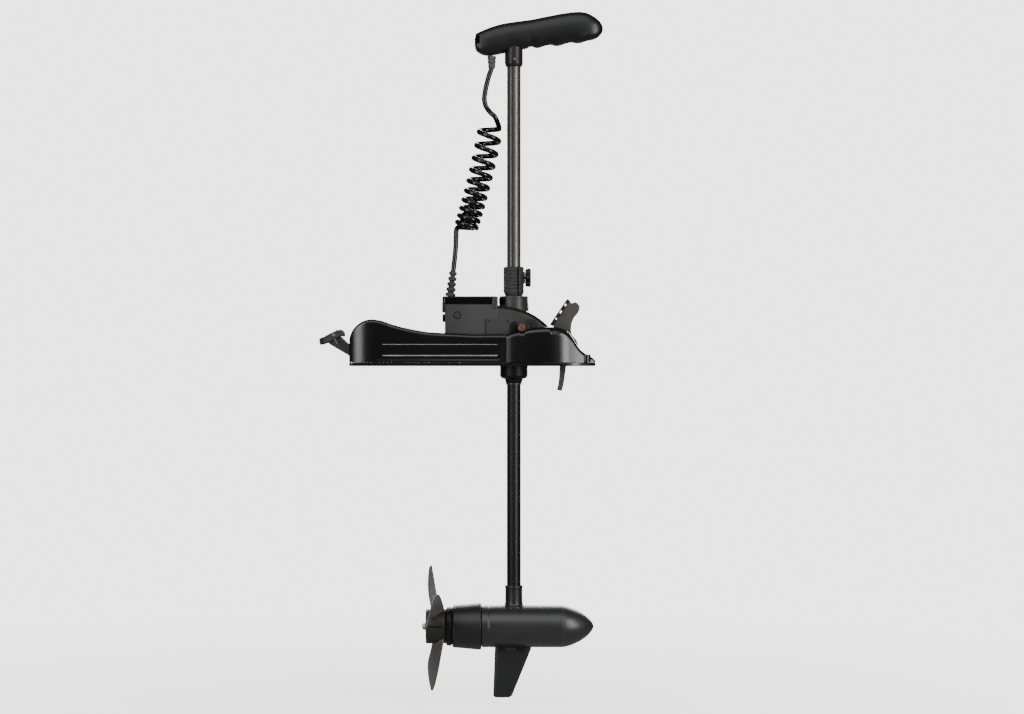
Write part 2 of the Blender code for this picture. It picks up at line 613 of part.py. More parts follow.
def shaft_set():
    groove = math.asin(1.5 / SHAFT_R)
    middle = math.radians(-104)
    count = 36
    step = (2 * math.pi - 2 * groove) / count
    outer = []
    for i in range(count + 1):
        angle = middle + groove + i * step
        outer.append((SHAFT_X + SHAFT_R * math.cos(angle), SHAFT_R * math.sin(angle)))
    depth = SHAFT_R - 1.2
    for angle in (middle - groove, middle + groove):
        outer.append((SHAFT_X + depth * math.cos(angle), depth * math.sin(angle)))
    bore = circle(SHAFT_X, 0, SHAFT_BORE, 20)
    prism("shaft_tube", [outer, bore], SHAFT_BOTTOM, SHAFT_TOP, "z", SATIN_STEEL, shaft)
    centre = (SHAFT_X, 0, 0)

    rings = []
    for x, low, high, half in HEAD:
        middle_z, tall = (low + high) / 2, (high - low) / 2
        ring = []
        for i in range(16):
            angle = 2 * math.pi * (i + 0.5) / 16
            c, s = math.cos(angle), math.sin(angle)
            ring.append(
                (
                    x,
                    half * math.copysign(abs(c) ** 0.75, c),
                    middle_z + tall * math.copysign(abs(s) ** 0.75, s) / math.sin(7 * math.pi / 16) ** 0.75,
                )
            )
        rings.append(ring)
    head = loft("head_shell", rings, HEAD_BLACK, shaft)
    cut(head, rod_between("head_socket", 20.5 + GAP, 660, 722, centre, "z"))
    collar = [(20.5, 721), (20.5, 670), (17.5, 664), (SLEEVE_BORE, 664), (SLEEVE_BORE, 721)]
    turned("head_collar", collar, centre, "z", MATTE_GREY, shaft, 24, ring=True)
    screw = [(0, -25), (4, -25), (5.5, -23), (5.5, -21), (0, -21)]
    turned("head_screw", screw, (207, 0, 679), "y", STEEL, shaft, 16)
    gland = [(0, 27), (9.5, 27), (10, 20), (8.6, 19), (9, 11), (7.6, 10), (8, 2), (7, 0), (0, 0)]
    turned("head_gland", gland, (155, 0, 661), "z", RUBBER, shaft, 12)


def nose_radius(x):
    t = (x - TUBE_FRONT) / (NOSE_TIP - TUBE_FRONT)
    return MOTOR_R * (1 - t**1.5) ** 0.62


def lower_unit():
    centre = (0, 0, MOTOR_Z)
    washer("motor_tube", MOTOR_BORE, MOTOR_R, TUBE_REAR, TUBE_FRONT, centre, "x", MOTOR_PAINT, shaft, 36)
    curve = [TUBE_FRONT + GAP, 317, 327, 338, 349, 360, 370, 377]
    nose = [(0, NOSE_TIP)] + [(nose_radius(x), x) for x in reversed(curve)]
    nose += [(42.2, TUBE_FRONT + GAP), (42.2, 298), (12, 298), (12, 310), (0, 310)]
    turned("nose_cone", nose, centre, "x", MOTOR_PAINT, shaft, 36)
    cap = [(42.2, 145), (42.2, 133), (51.6, 133), (51.2, 128), (47, 70), (45, 68), (13.3, 68), (13.3, 80)]
    cap += [(34, 80), (34, 145)]
    turned("rear_end_cap", cap, centre, "x", MOTOR_PAINT, shaft, 36, ring=True)
    neck = [(18.75, -487), (19.75, -489), (19.75, -545), (SLEEVE_BORE, -545), (SLEEVE_BORE, -487)]
    neck = turned("shaft_neck", neck, (SHAFT_X, 0, 0), "z", MOTOR_PAINT, shaft, 24, ring=True)
    cut(neck, rod_between("motor_saddle", MOTOR_R + GAP, 150, 260, centre, "x", steps=72))
    skeg = [(162, -624.9), (241, -624.9), (243, -628), (199, -733)]
    skeg += [(194, -736), (161, -736), (158, -733), (161, -640)]
    prism("skeg", [skeg], -4, 4, "y", MOTOR_PAINT, shaft)
    washer("field_magnets", 37.5, 42.2, 170, 280, centre, "x", STEEL, shaft)
    washer("rear_bearing", ROTOR_R + GAP, 13, 68.5, 79.5, centre, "x", STEEL, shaft, 20)
    washer("front_bush", ROTOR_R + GAP, 11.7, 298.3, 309.5, centre, "x", BRASS, shaft, 20)
    core = [(20, 284), (34, 276), (34, 176), (16, 168), (16, 150)]
    core += [(ROTOR_R + GAP, 150), (ROTOR_R + GAP, 284)]
    turned("armature", core, centre, "x", COPPER, rotor, 24, ring=True)
    rod_between("rotor_shaft", ROTOR_R, 2.8, 306, centre, "x", STEEL, rotor, 16)
    nut = [(0, 0), (5, 0), (8, 2), (8, 8.7), (ROTOR_R + GAP, 8.7), (ROTOR_R + GAP, 2.5), (0, 2.5)]
    turned("propeller_nut", nut, centre, "x", BRASS, rotor, 12)
    propeller(centre)


def station(radius, column):
    """A column of BLADE_STATIONS at this radius."""
    for low, high in zip(BLADE_STATIONS, BLADE_STATIONS[1:]):
        if radius <= high[0]:
            share = (radius - low[0]) / (high[0] - low[0])
            return low[column] + share * (high[column] - low[column])


def blade_section(radius, root):
    """A lens-shaped section wrapped on its cylinder, turned with the pitch and swept back from the root."""
    share = (radius - BLADE_ROOT_R) / (BLADE_TIP_R - BLADE_ROOT_R)
    middle, half = station(radius, 1), station(radius, 2)
    pitch = math.atan2(BLADE_PITCH, radius)
    chord = 2 * half / math.sin(pitch)
    thick = 3.6 - 2.4 * share
    across = [(-0.5, 0), (-0.25, 0.45), (0.1, 0.5), (0.5, 0), (0.1, -0.5), (-0.25, -0.45)]
    ring = []
    for u, v in across:
        along, lift = u * chord, v * thick
        around = (along * math.cos(pitch) + lift * math.sin(pitch)) / radius
        turn = math.radians(root - BLADE_SWEEP * share**0.75) + around
        x = middle + along * math.sin(pitch) - lift * math.cos(pitch)
        ring.append((x, radius * math.sin(turn), MOTOR_Z + radius * math.cos(turn)))
    return ring


def propeller(centre):
    hub = [(HUB_R, HUB_REAR), (HUB_R, 52), (42.5, 55), (42.5, HUB_FRONT), (ROTOR_R + GAP, HUB_FRONT)]
    hub += [(ROTOR_R + GAP, HUB_REAR)]
    made = turned("propeller", hub, centre, "x", PROP_GREY, rotor, 32, ring=True)
    for i, root in enumerate(BLADE_ROOTS):
        rings = [blade_section(r, root) for r in (BLADE_ROOT_R, 48, 66, 84, 102, 120, 136, 150, BLADE_TIP_R)]
        join(made, loft(f"blade_{i + 1}", rings))


def depth_collar_set():
    centre = (SHAFT_X, 0, 0)
    profile = [(21.5, 220), (23, 218), (23, 164), (19, 155.7), (SLEEVE_BORE, 155.7), (SLEEVE_BORE, 220)]
    collar = turned("depth_collar", profile, centre, "z", MATTE_GREY, clamp, 32, ring=True)
    boss = block("clamp_boss", (SHAFT_X + 18, -10, 183), (229, 10, 209))
    join(collar, boss)
    cut(collar, rod_between("clamp_bore", 3.8, 221, 235, (0, 0, 196), "x", steps=12))
    lobes = []
    for i in range(36):
        angle = 2 * math.pi * i / 36
        radius = 20.6 + 1.9 * math.cos(6 * angle)
        lobes.append((radius * math.cos(angle), 196 + radius * math.sin(angle)))
    knob = prism("clamp_knob", [lobes], 229 + GAP, 242, "x", RUBBER, knob_axis)
    join(knob, rod_between("knob_stem", 3.5, 221.5, 235, (0, 0, 196), "x", steps=12))


deck_mount()
pedal_set()
latch_set()
stow_guides()
gearbox_set()
steering_set()
cord_set()
shaft_set()
lower_unit()
depth_collar_set()
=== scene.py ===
"""Looks of the bow-mount trolling motor: fine shells, the coiled cord and every material.

Lengths are written in millimetres and turned into metres by MM. The frame's own boxes give the places
that matter: the shaft, the motor, the gearbox and the base. +X is the bow, -Y faces the camera.
"""

import math

import bmesh
import bpy
import numpy as np
from mathutils import Matrix, Vector


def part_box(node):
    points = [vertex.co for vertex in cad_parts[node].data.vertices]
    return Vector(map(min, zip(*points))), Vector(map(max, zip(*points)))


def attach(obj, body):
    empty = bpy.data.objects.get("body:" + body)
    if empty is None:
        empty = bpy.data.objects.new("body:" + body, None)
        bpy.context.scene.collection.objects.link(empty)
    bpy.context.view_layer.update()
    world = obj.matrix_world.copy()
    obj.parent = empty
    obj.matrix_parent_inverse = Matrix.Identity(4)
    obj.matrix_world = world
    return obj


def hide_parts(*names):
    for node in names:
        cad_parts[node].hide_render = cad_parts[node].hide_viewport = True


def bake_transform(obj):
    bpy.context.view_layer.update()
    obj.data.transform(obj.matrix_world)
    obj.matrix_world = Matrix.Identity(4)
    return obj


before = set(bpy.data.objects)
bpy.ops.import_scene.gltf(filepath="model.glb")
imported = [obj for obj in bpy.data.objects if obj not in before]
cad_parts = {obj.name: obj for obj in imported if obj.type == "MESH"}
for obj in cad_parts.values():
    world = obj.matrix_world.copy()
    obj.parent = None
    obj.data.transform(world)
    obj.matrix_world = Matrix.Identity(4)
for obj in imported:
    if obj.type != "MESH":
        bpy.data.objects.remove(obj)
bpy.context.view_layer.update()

MM = 0.001
GAP = 0.3


def box(node):
    """A CAD node's lowest and highest corners in millimetres."""
    low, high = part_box(node)
    return Vector(low) / MM, Vector(high) / MM


def centre(node):
    """The middle of a CAD node's box in millimetres."""
    low, high = box(node)
    return (low + high) / 2


# Places read from the frame
plate_high = box("deck_plate")[1]
lid_low, lid_high = box("gearbox_lid")
tube_low, tube_high = box("shaft_tube")
motor_low, motor_high = box("motor_tube")
nose_high = box("nose_cone")[1]
skeg_low, skeg_high = box("skeg")
collar_low, collar_high = box("steering_collar")
clamp_low, clamp_high = box("depth_collar")

SHAFT_X = (tube_low.x + tube_high.x) / 2
SHAFT_R = (tube_high.x - tube_low.x) / 2
MOTOR_Z = (motor_low.z + motor_high.z) / 2
MOTOR_R = (motor_high.z - motor_low.z) / 2
LATCH_X, _, LATCH_Z = centre("latch_pin_right")
LATCH_R = LATCH_X - box("latch_pin_right")[0].x
TILT_X, _, TILT_Z = centre("tilt_pin")
PEDAL_X, _, PEDAL_Z = centre("pedal_pin")
DECK_TOP = plate_high.z + GAP
BOX_HALF = box("gearbox_housing")[1].y
SHAFT_LINE = (SHAFT_X, 0, 0)
MOTOR_LINE = (0, 0, MOTOR_Z)

# Pivots on the castings, which have no CAD node of their own
GUIDE_X, GUIDE_Z, GUIDE_PIN_R = 335, 47, 5
HOOK_X, HOOK_Z, HOOK_PIN_R = 244, 16, 3.5

# The cord's route along its CAD solids: the coil's axis and centre line's radii, and the two tails
CORD_R = 6
COIL_LOW, COIL_HIGH = (95.5, 28, 302), (155.5, 14, 546)
COIL_LOW_R, COIL_HIGH_R = 23.3, 24.8
LOWER_TAIL = ((69.2, 30, 215.4), (72, 30, 240), (74, 30, 262), (75, 30, 284), (75.8, 29.5, 303))
UPPER_TAIL = (
    (153.8, 0, 658.7), (150, 1, 648), (146, 3, 635), (141, 6, 613), (138.5, 9, 594), (142, 12, 578),
    (152, 13, 564), (163, 13, 553),
)


# ---------------------------------------------------------------- materials

MICRON = 0.000001


class Graph:
    """A node tree, with the few steps that every finish is made of."""

    def __init__(self, tree):
        self.nodes = tree.nodes
        self.link = tree.links.new

    def feed(self, socket, value):
        if isinstance(value, bpy.types.NodeSocket):
            self.link(value, socket)
        else:
            socket.default_value = value

    def node(self, kind, **inputs):
        """A new node. Each input is a value or the socket that it is linked from."""
        made = self.nodes.new(f"ShaderNode{kind}")
        for name, value in inputs.items():
            self.feed(made.inputs[name.replace("_", " ")], value)
        return made

    def place(self):
        return self.node("TexCoord").outputs["Object"]

    def noise(self, scale, detail=4, stretch=(1, 1, 1)):
        """A noise texture's value, read at the piece's own points, in turns per metre."""
        moved = self.node("Mapping", Vector=self.place(), Scale=stretch)
        return self.node("TexNoise", Vector=moved.outputs[0], Scale=scale, Detail=detail).outputs["Fac"]

    def spread(self, value, low, high, start=0.3, end=0.7):
        """Turns a value between start and end into one between low and high."""
        ranged = self.node("MapRange", Value=value, From_Min=start, From_Max=end, To_Min=low, To_Max=high)
        return ranged.outputs["Result"]

    def mixed(self, amount, first, second):
        """A colour between two, each a colour or a socket."""
        blend = self.node("Mix")
        blend.data_type = "RGBA"
        for place, value in zip((0, 6, 7), (amount, first, second)):
            self.feed(blend.inputs[place], (*value, 1) if isinstance(value, tuple) else value)
        return blend.outputs[2]

    def bump(self, distance, height):
        return self.node("Bump", Distance=distance * MICRON, Strength=1, Height=height)


def surface(
    name,
    dark,
    light,
    rough,
    metallic=0.0,
    patches=9,
    grain=1500,
    depth=20,
    waves=60,
    swell=0,
    stretch=(1, 1, 1),
    specular=0.4,
    coat=0.0,
    edge=None,
    upper=None,
    split=(0, 0.02),
):
    """A finish with soft colour patches, grain in its bump and gloss, and paler edges that are partly wear
    and partly a painted edge highlight; its upper pair, where given, paints a lighter top as painted light.

    dark and light are the ends of its colour, rough
    the ends of its roughness. grain and waves are turns per metre, depth and swell their bump in
    microns. upper is a second (dark, light) pair that takes over above the split heights in metres.
    """
    made = bpy.data.materials.new(name)
    made.use_nodes = True
    graph = Graph(made.node_tree)
    patch = graph.noise(patches, 5, stretch)
    fine = graph.noise(grain, 3, stretch)
    amount = graph.spread(patch, 0, 1)
    colour = graph.mixed(amount, dark, light)
    # Above the split heights a lighter colour pair takes over: a painted lighter top that stands in for
    # stronger light there.
    if upper:
        height = graph.node("SeparateXYZ", Vector=graph.place()).outputs["Z"]
        colour = graph.mixed(graph.spread(height, 0, 1, *split), colour, graph.mixed(amount, *upper))
    colour = graph.mixed(graph.spread(fine, 0, 0.35, 0.35, 0.75), colour, light)
    # Paler convex edges: partly wear, partly a painted edge highlight.
    if edge:
        worn_and_highlit_edges = graph.node("NewGeometry").outputs["Pointiness"]
        colour = graph.mixed(graph.spread(worn_and_highlit_edges, 0, 0.6, 0.52, 0.6), colour, edge)
    mean = graph.node("Mix")
    graph.link(patch, mean.inputs[2])
    graph.link(fine, mean.inputs[3])
    bump = graph.bump(depth, fine)
    if swell:
        broad = graph.bump(swell, graph.noise(waves, 2, stretch))
        graph.link(broad.outputs["Normal"], bump.inputs["Normal"])
    shader = graph.nodes["Principled BSDF"]
    values = {
        "Base Color": colour,
        "Roughness": graph.spread(mean.outputs[0], *rough, 0.35, 0.65),
        "Normal": bump.outputs["Normal"],
        "Metallic": metallic,
        "Specular IOR Level": specular,
        "Coat Weight": coat,
        "Coat Roughness": 0.12,
    }
    for place, value in values.items():
        graph.feed(shader.inputs[place], value)
    return made


GLOSS = surface(
    "gloss_black_coat", (0.0012, 0.0012, 0.0013), (0.0024, 0.0024, 0.0026), (0.21, 0.27),
    patches=7, grain=700, depth=1.5, waves=45, swell=30, specular=0.5, coat=0.1, edge=(0.01, 0.01, 0.011),
)
LID = surface(
    "gloss_lid", (0.0016, 0.0014, 0.0014), (0.003, 0.0027, 0.0027), (0.13, 0.22), grain=1200,
    depth=2, waves=50, swell=30, specular=0.3, edge=(0.02, 0.02, 0.02),
)
MATTE = surface(
    "moulded_dark_grey", (0.026, 0.0257, 0.0257), (0.037, 0.0368, 0.037), (0.5, 0.66),
    patches=14, edge=(0.05, 0.05, 0.05), specular=0.35,
)
DARK = surface(
    "moulded_black", (0.0025, 0.0024, 0.0024), (0.0048, 0.0045, 0.0046), (0.36, 0.52),
    patches=14, depth=15, edge=(0.03, 0.03, 0.03), specular=0.28,
)
HEAD = surface(
    "head_shell_soft_black", (0.0045, 0.0045, 0.0054), (0.007, 0.007, 0.0082), (0.3, 0.4),
    patches=8, grain=1700, depth=12, edge=(0.03, 0.03, 0.033), specular=0.42,
)
# One dark tube; its upper pair is painted light, a lighter top where the lamps fall more strongly.
SHAFT = surface(
    "satin_shaft_painted_lit_top", (0.022, 0.022, 0.022), (0.032, 0.0318, 0.0318), (0.33, 0.42),
    metallic=0.8, patches=20, grain=420, depth=3, stretch=(1, 1, 0.06),
    upper=((0.13, 0.113, 0.112), (0.17, 0.148, 0.147)), split=(0.02, 0.09),
)
MOTOR = surface(
    "motor_satin_paint", (0.013, 0.013, 0.0133), (0.018, 0.018, 0.0184), (0.34, 0.42),
    grain=1100, depth=8, waves=90, swell=20, specular=0.68, edge=(0.05, 0.05, 0.052),
)
MOTOR_DARK = surface(
    "motor_dark_paint", (0.0065, 0.0065, 0.0068), (0.0095, 0.0095, 0.0098), (0.36, 0.44),
    grain=1100, depth=8, waves=90, swell=20, specular=0.5, edge=(0.04, 0.04, 0.042),
)
PROP = surface(
    "propeller_warm_grey", (0.078, 0.0727, 0.0675), (0.11, 0.103, 0.0963), (0.42, 0.56),
    patches=16, grain=900, depth=18, waves=70, swell=80, edge=(0.07, 0.066, 0.06),
)
HUB = surface(
    "propeller_hub_grey", (0.013, 0.0124, 0.0118), (0.02, 0.019, 0.0182), (0.42, 0.56),
    patches=16, grain=900, depth=18, edge=(0.05, 0.047, 0.045),
)
RUBBER = surface(
    "dull_rubber", (0.006, 0.006, 0.006), (0.012, 0.012, 0.0115), (0.62, 0.82), patches=25,
    grain=1600, depth=30, specular=0.25,
)
RUBBER_GREY = surface(
    "gland_mid_grey", (0.026, 0.025, 0.025), (0.042, 0.04, 0.04), (0.5, 0.66), patches=40,
)
GUIDE = surface(
    "guide_grey", (0.034, 0.0325, 0.0315), (0.048, 0.046, 0.045), (0.5, 0.64), patches=18,
    grain=1400, edge=(0.09, 0.088, 0.086),
)
CORD = surface(
    "cord_jacket", (0.001, 0.001, 0.001), (0.0018, 0.0017, 0.0018), (0.14, 0.22),
    patches=30, grain=900, depth=2, waves=160, swell=10, specular=0.5,
)
GLAND = surface(
    "gland_pale_grey", (0.05, 0.047, 0.046), (0.08, 0.076, 0.075), (0.42, 0.56), patches=40,
)
STEEL = surface(
    "brushed_steel", (0.32, 0.32, 0.33), (0.5, 0.5, 0.5), (0.22, 0.38), metallic=1, patches=60,
    grain=1400, depth=5, stretch=(1, 1, 0.15), edge=(0.75, 0.75, 0.75),
)
STEEL_DARK = surface(
    "oxidised_steel", (0.06, 0.06, 0.062), (0.12, 0.12, 0.12), (0.35, 0.5), metallic=0.8,
    patches=80, depth=30, edge=(0.25, 0.25, 0.25),
)
SILVER = surface(
    "silver_trim", (0.42, 0.42, 0.43), (0.55, 0.55, 0.56), (0.3, 0.42), metallic=0.7,
    patches=50, grain=1300,
)
SATIN_END = surface(
    "satin_trim", (0.05, 0.05, 0.052), (0.09, 0.09, 0.092), (0.25, 0.36), metallic=0.5,
    patches=30, grain=1300,
)
SOCKET = surface(
    "socket_warm_grey", (0.02, 0.018, 0.0177), (0.029, 0.0262, 0.0258), (0.3, 0.4),
    metallic=0.5, patches=20, grain=1200, depth=10, edge=(0.1, 0.09, 0.09),
)
COLLAR = surface(
    "collar_grey", (0.034, 0.0325, 0.032), (0.048, 0.046, 0.045), (0.36, 0.5),
    metallic=0.3, patches=20, grain=1200, depth=10, edge=(0.09, 0.085, 0.085),
)
COPPER = surface(
    "copper_pin", (0.15, 0.068, 0.05), (0.25, 0.125, 0.095), (0.3, 0.46), metallic=0.75,
    patches=70, depth=30, edge=(0.6, 0.42, 0.36),
)
BRASS = surface(
    "turned_brass", (0.36, 0.25, 0.12), (0.52, 0.38, 0.2), (0.25, 0.42), metallic=1,
    patches=60, depth=30, edge=(0.7, 0.58, 0.4),
)
BOARD = surface(
    "circuit_board", (0.01, 0.07, 0.03), (0.02, 0.12, 0.05), (0.35, 0.5), patches=160, grain=900,
    depth=40,
)


# ---------------------------------------------------------------- shapes

def link(mesh, name):
    made = bpy.data.objects.new(name, mesh)
    bpy.context.scene.collection.objects.link(made)
    return made


def finish(obj, material, body, nodes=(), sharp=38):
    """Shades and paints a piece, and rides it on its body in place of its CAD nodes."""
    obj.data.name = obj.name
    obj.data.materials.clear()
    obj.data.materials.append(material)
    obj.data.shade_smooth()
    obj.data.set_sharp_from_angle(angle=math.radians(sharp))
    if body:
        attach(obj, body)
    if nodes:
        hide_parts(*nodes)
    return obj


def repaint(obj, material, chosen):
    """Gives a second material to the faces whose centre (in millimetres) and normal are chosen."""
    obj.data.materials.append(material)
    for face in obj.data.polygons:
        if chosen(face.center / MM, face.normal):
            face.material_index = 1


def from_bmesh(bm, name):
    bmesh.ops.recalc_face_normals(bm, faces=bm.faces)
    mesh = bpy.data.meshes.new(name)
    bm.to_mesh(mesh)
    bm.free()
    return link(mesh, name)


def applied(obj):
    """Applies the object's modifiers to its mesh."""
    bpy.context.view_layer.update()
    graph = bpy.context.evaluated_depsgraph_get()
    mesh = bpy.data.meshes.new_from_object(obj.evaluated_get(graph))
    obj.modifiers.clear()
    obj.data = mesh
    return obj


def boolean(obj, operation, others):
    for other in others:
        step = obj.modifiers.new("step", "BOOLEAN")
        step.operation = operation
        step.solver = "EXACT"
        step.object = other
        applied(obj)
        bpy.data.objects.remove(other, do_unlink=True)


def cut(obj, *others):
    """Cuts the other objects from this one and removes them."""
    boolean(obj, "DIFFERENCE", others)


def join(obj, *others):
    boolean(obj, "UNION", others)


def softened(obj, width, segments=3, angle=32):
    """Rounds the object's edges."""
    step = obj.modifiers.new("rounded", "BEVEL")
    step.width = width * MM
    step.segments = segments
    step.limit_method = "ANGLE"
    step.angle_limit = math.radians(angle)
    step.use_clamp_overlap = True
    return applied(obj)


def rounded(points, radius, closed=True, steps=4):
    """The outline with its corners rounded, less where an edge is short."""
    points = [Vector(p) for p in points]
    count = len(points)
    found = []
    for i, corner in enumerate(points):
        if not closed and i in (0, count - 1):
            found.append(corner)
            continue
        before, after = points[i - 1] - corner, points[(i + 1) % count] - corner
        trim = min(radius, 0.45 * before.length, 0.45 * after.length)
        start = corner + before.normalized() * trim
        end = corner + after.normalized() * trim
        for k in range(steps + 1):
            t = k / steps
            found.append((1 - t) ** 2 * start + 2 * t * (1 - t) * corner + t * t * end)
    return found


def smooth(points, each=6, closed=False):
    """Rows of numbers read from a smooth curve through the given rows."""
    rows = [np.array(p, float) for p in points]
    if closed:
        ends = [rows[-1], *rows, rows[0], rows[1]]
    else:
        ends = [2 * rows[0] - rows[1], *rows, 2 * rows[-1] - rows[-2]]
    found = []
    for a, b, c, d in zip(ends, ends[1:], ends[2:], ends[3:]):
        for i in range(each):
            t = i / each
            bend = (2 * a - 5 * b + 4 * c - d) * t**2 + (3 * b - a - 3 * c + d) * t**3
            found.append((2 * b + (c - a) * t + bend) / 2)
    return found if closed else [*found, rows[-1]]


TURNS = {
    "x": lambda r, a, h: (h, r * math.cos(a), r * math.sin(a)),
    "y": lambda r, a, h: (r * math.cos(a), h, r * math.sin(a)),
    "z": lambda r, a, h: (r * math.cos(a), r * math.sin(a), h),
}


def turned(name, profile, middle, axis, steps=72, ring=False, ripple=None):
    """A profile of (radius, height) points turned about the axis. ripple(angle, height) adds to a radius."""
    bm = bmesh.new()
    rows = []
    for radius, height in profile:
        row = []
        for i in range(steps if radius > 1e-6 else 1):
            angle = 2 * math.pi * i / steps
            wide = radius + (ripple(angle, height) if ripple and radius > 1e-6 else 0)
            row.append(bm.verts.new((Vector(TURNS[axis](wide, angle, height)) + Vector(middle)) * MM))
        rows.append(row)
    pairs = list(zip(rows, rows[1:]))
    if ring:
        pairs.append((rows[-1], rows[0]))
    for a, b in pairs:
        if len(a) == 1 and len(b) == 1:
            continue
        for i in range(steps):
            j = (i + 1) % steps
            if len(a) == 1:
                bm.faces.new((a[0], b[i], b[j]))
            elif len(b) == 1:
                bm.faces.new((a[i], a[j], b[0]))
            else:
                bm.faces.new((a[i], a[j], b[j], b[i]))
    return from_bmesh(bm, name)


def disc(radius, low, high):
    """Half of a solid bar's section, as (radius, height) points."""
    return [(0, high), (radius, high), (radius, low), (0, low)]


def band(inner, outer, low, high):
    """A plain ring's section, as (radius, height) points."""
    return [(outer, low), (outer, high), (inner, high), (inner, low)]


def pin(radius, low, high, middle, axis, steps=24):
    """A plain round bar, to join to a piece or to cut from it."""
    return turned("pin", disc(radius, low, high), middle, axis, steps)


PLANES = {
    "z": Matrix.Identity(4),
    "y": Matrix.Rotation(math.pi / 2, 4, "X"),
    "x": Matrix(((0, 0, 1, 0), (1, 0, 0, 0), (0, 1, 0, 0), (0, 0, 0, 1))),
}


def prism(name, loops, low, high, axis, edge=0.8, segments=3):
    """Flat outlines extruded along the axis: (x, z) along y, (x, y) along z, (y, z) along x."""
    data = bpy.data.curves.new(name, "CURVE")
    data.dimensions = "2D"
    data.fill_mode = "BOTH"
    data.extrude = (high - low) / 2 * MM
    for loop in loops:
        line = data.splines.new("POLY")
        line.points.add(len(loop) - 1)
        for point, place in zip(line.points, loop):
            point.co = (place[0] * MM, place[1] * MM, 0, 1)
        line.use_cyclic_u = True
    curve = link(data, name)
    middle = (low + high) / 2 * MM
    offset = {"x": (middle, 0, 0), "y": (0, middle, 0), "z": (0, 0, middle)}[axis]
    bpy.context.view_layer.update()
    graph = bpy.context.evaluated_depsgraph_get()
    mesh = bpy.data.meshes.new_from_object(curve.evaluated_get(graph))
    bpy.data.objects.remove(curve, do_unlink=True)
    mesh.transform(Matrix.Translation(offset) @ PLANES[axis])
    bm = bmesh.new()
    bm.from_mesh(mesh)
    bmesh.ops.remove_doubles(bm, verts=bm.verts, dist=1e-6)
    flat = [e for e in bm.edges if len(e.link_faces) == 2 and e.calc_face_angle() < 1e-4]
    bmesh.ops.dissolve_edges(bm, edges=flat, use_verts=False)
    made = from_bmesh(bm, name)
    return softened(made, edge, segments) if edge else made


def corners(left, bottom, right, top):
    return [(left, bottom), (right, bottom), (right, top), (left, top)]


def circle(x, y, radius, count=40):
    turns = [2 * math.pi * i / count for i in range(count)]
    return [(x + radius * math.cos(a), y + radius * math.sin(a)) for a in turns]


def block(name, low, high, edge=0.8, segments=3):
    bm = bmesh.new()
    bmesh.ops.create_cube(bm, size=1)
    low, high = Vector(low) * MM, Vector(high) * MM
    bm.transform(Matrix.Translation((low + high) / 2) @ Matrix.Diagonal((*(high - low), 1)))
    made = from_bmesh(bm, name)
    return softened(made, edge, segments) if edge else made


def loft(name, rings):
    """A skin over closed rings that share one count, closed at both ends by a fan."""
    bm = bmesh.new()
    rows = [[bm.verts.new(Vector(p) * MM) for p in ring] for ring in rings]
    for a, b in zip(rows, rows[1:]):
        for i in range(len(a)):
            j = (i + 1) % len(a)
            bm.faces.new((a[i], a[j], b[j], b[i]))
    for row in (rows[0], rows[-1]):
        middle = bm.verts.new(sum((v.co for v in row), Vector()) / len(row))
        for i in range(len(row)):
            bm.faces.new((row[i], row[(i + 1) % len(row)], middle))
    return from_bmesh(bm, name)


def tube(name, path, radius, sides=16):
    """A round tube swept along the path with frames that don't twist, closed at both ends."""
    points = [Vector(p) for p in path]
    rings = []
    across = None
    for i, point in enumerate(points):
        ahead = points[min(i + 1, len(points) - 1)] - points[max(i - 1, 0)]
        ahead.normalize()
        if across is None:
            across = ahead.orthogonal().normalized()
        across = (across - ahead * across.dot(ahead)).normalized()
        up = ahead.cross(across)
        turns = [2 * math.pi * k / sides for k in range(sides)]
        rings.append([point + radius * (across * math.cos(a) + up * math.sin(a)) for a in turns])
    return loft(name, rings)


def side(sign):
    return "left" if sign > 0 else "right"


def span(sign, inner, outer):
    return (inner, outer) if sign > 0 else (-outer, -inner)


# ---------------------------------------------------------------- camera and cords

CAMERA_PLACE = (0.2, -5.37, 0.02)
LENS, SENSOR = 85, 36


def camera():
    """A level camera with a long lens, square to the object's right side."""
    data = bpy.data.cameras.new("camera")
    data.lens = LENS
    data.sensor_width = SENSOR
    made = bpy.data.objects.new("camera", data)
    made.location = CAMERA_PLACE
    made.rotation_euler = (math.pi / 2, 0, 0)
    bpy.context.scene.collection.objects.link(made)
    bpy.context.scene.camera = made


def coil_points(turns=10.5, start=4, first_pitch=12.4, growth=0.96, each=28, lead=0.08, bow=4, tilt=0.6):
    """The helix from the coil's lower left to its upper right, left-handed, its pitch growing upwards."""
    low, high = Vector(COIL_LOW), Vector(COIL_HIGH)
    along = (high - low).normalized()
    right = (Vector((1, 0, 0)) - along * along.x * tilt).normalized()
    back = along.cross(right).normalized()
    found = []
    for i in range(int(turns * each) + 1):
        turn = i / each
        if not lead <= turn <= turns - lead:
            continue
        height = start + first_pitch * turn + growth * turn**2
        share = height / (high - low).length
        radius = COIL_LOW_R + (COIL_HIGH_R - COIL_LOW_R) * share
        bend = right * bow * math.sin(math.pi * share)
        angle = math.pi - 2 * math.pi * turn
        out = right * math.cos(angle) + back * math.sin(angle)
        found.append(low + along * height + bend + radius * out)
    return found


def cords():
    coil = coil_points()
    half = len(coil) // 2
    lower_ends = smooth([(68.2, 30, 208), *LOWER_TAIL, tuple(coil[0]), tuple(coil[2])], 5)
    lower = lower_ends[:-5] + coil[: half + 1]
    upper_ends = smooth([tuple(coil[-3]), tuple(coil[-1]), *UPPER_TAIL[::-1], (155, 0, 664)], 5)
    upper = coil[half:] + upper_ends[6:]
    middle = (Vector(COIL_LOW) + Vector(COIL_HIGH)) / 2
    plans = (
        ("lower", lower, LOWER_TAIL[0], ("gearbox", "steering"), (COIL_LOW, middle)),
        ("upper", upper, UPPER_TAIL[0], ("steering", "shaft"), (middle, COIL_HIGH)),
    )
    for name, path, leaves, bodies, (start, end) in plans:
        made = tube(f"cord_{name}", path, CORD_R)
        finish(made, CORD, None, (f"cord_tail_{name}", f"cord_coil_{name}"), sharp=60)
        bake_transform(made)


# ---------------------------------------------------------------- base

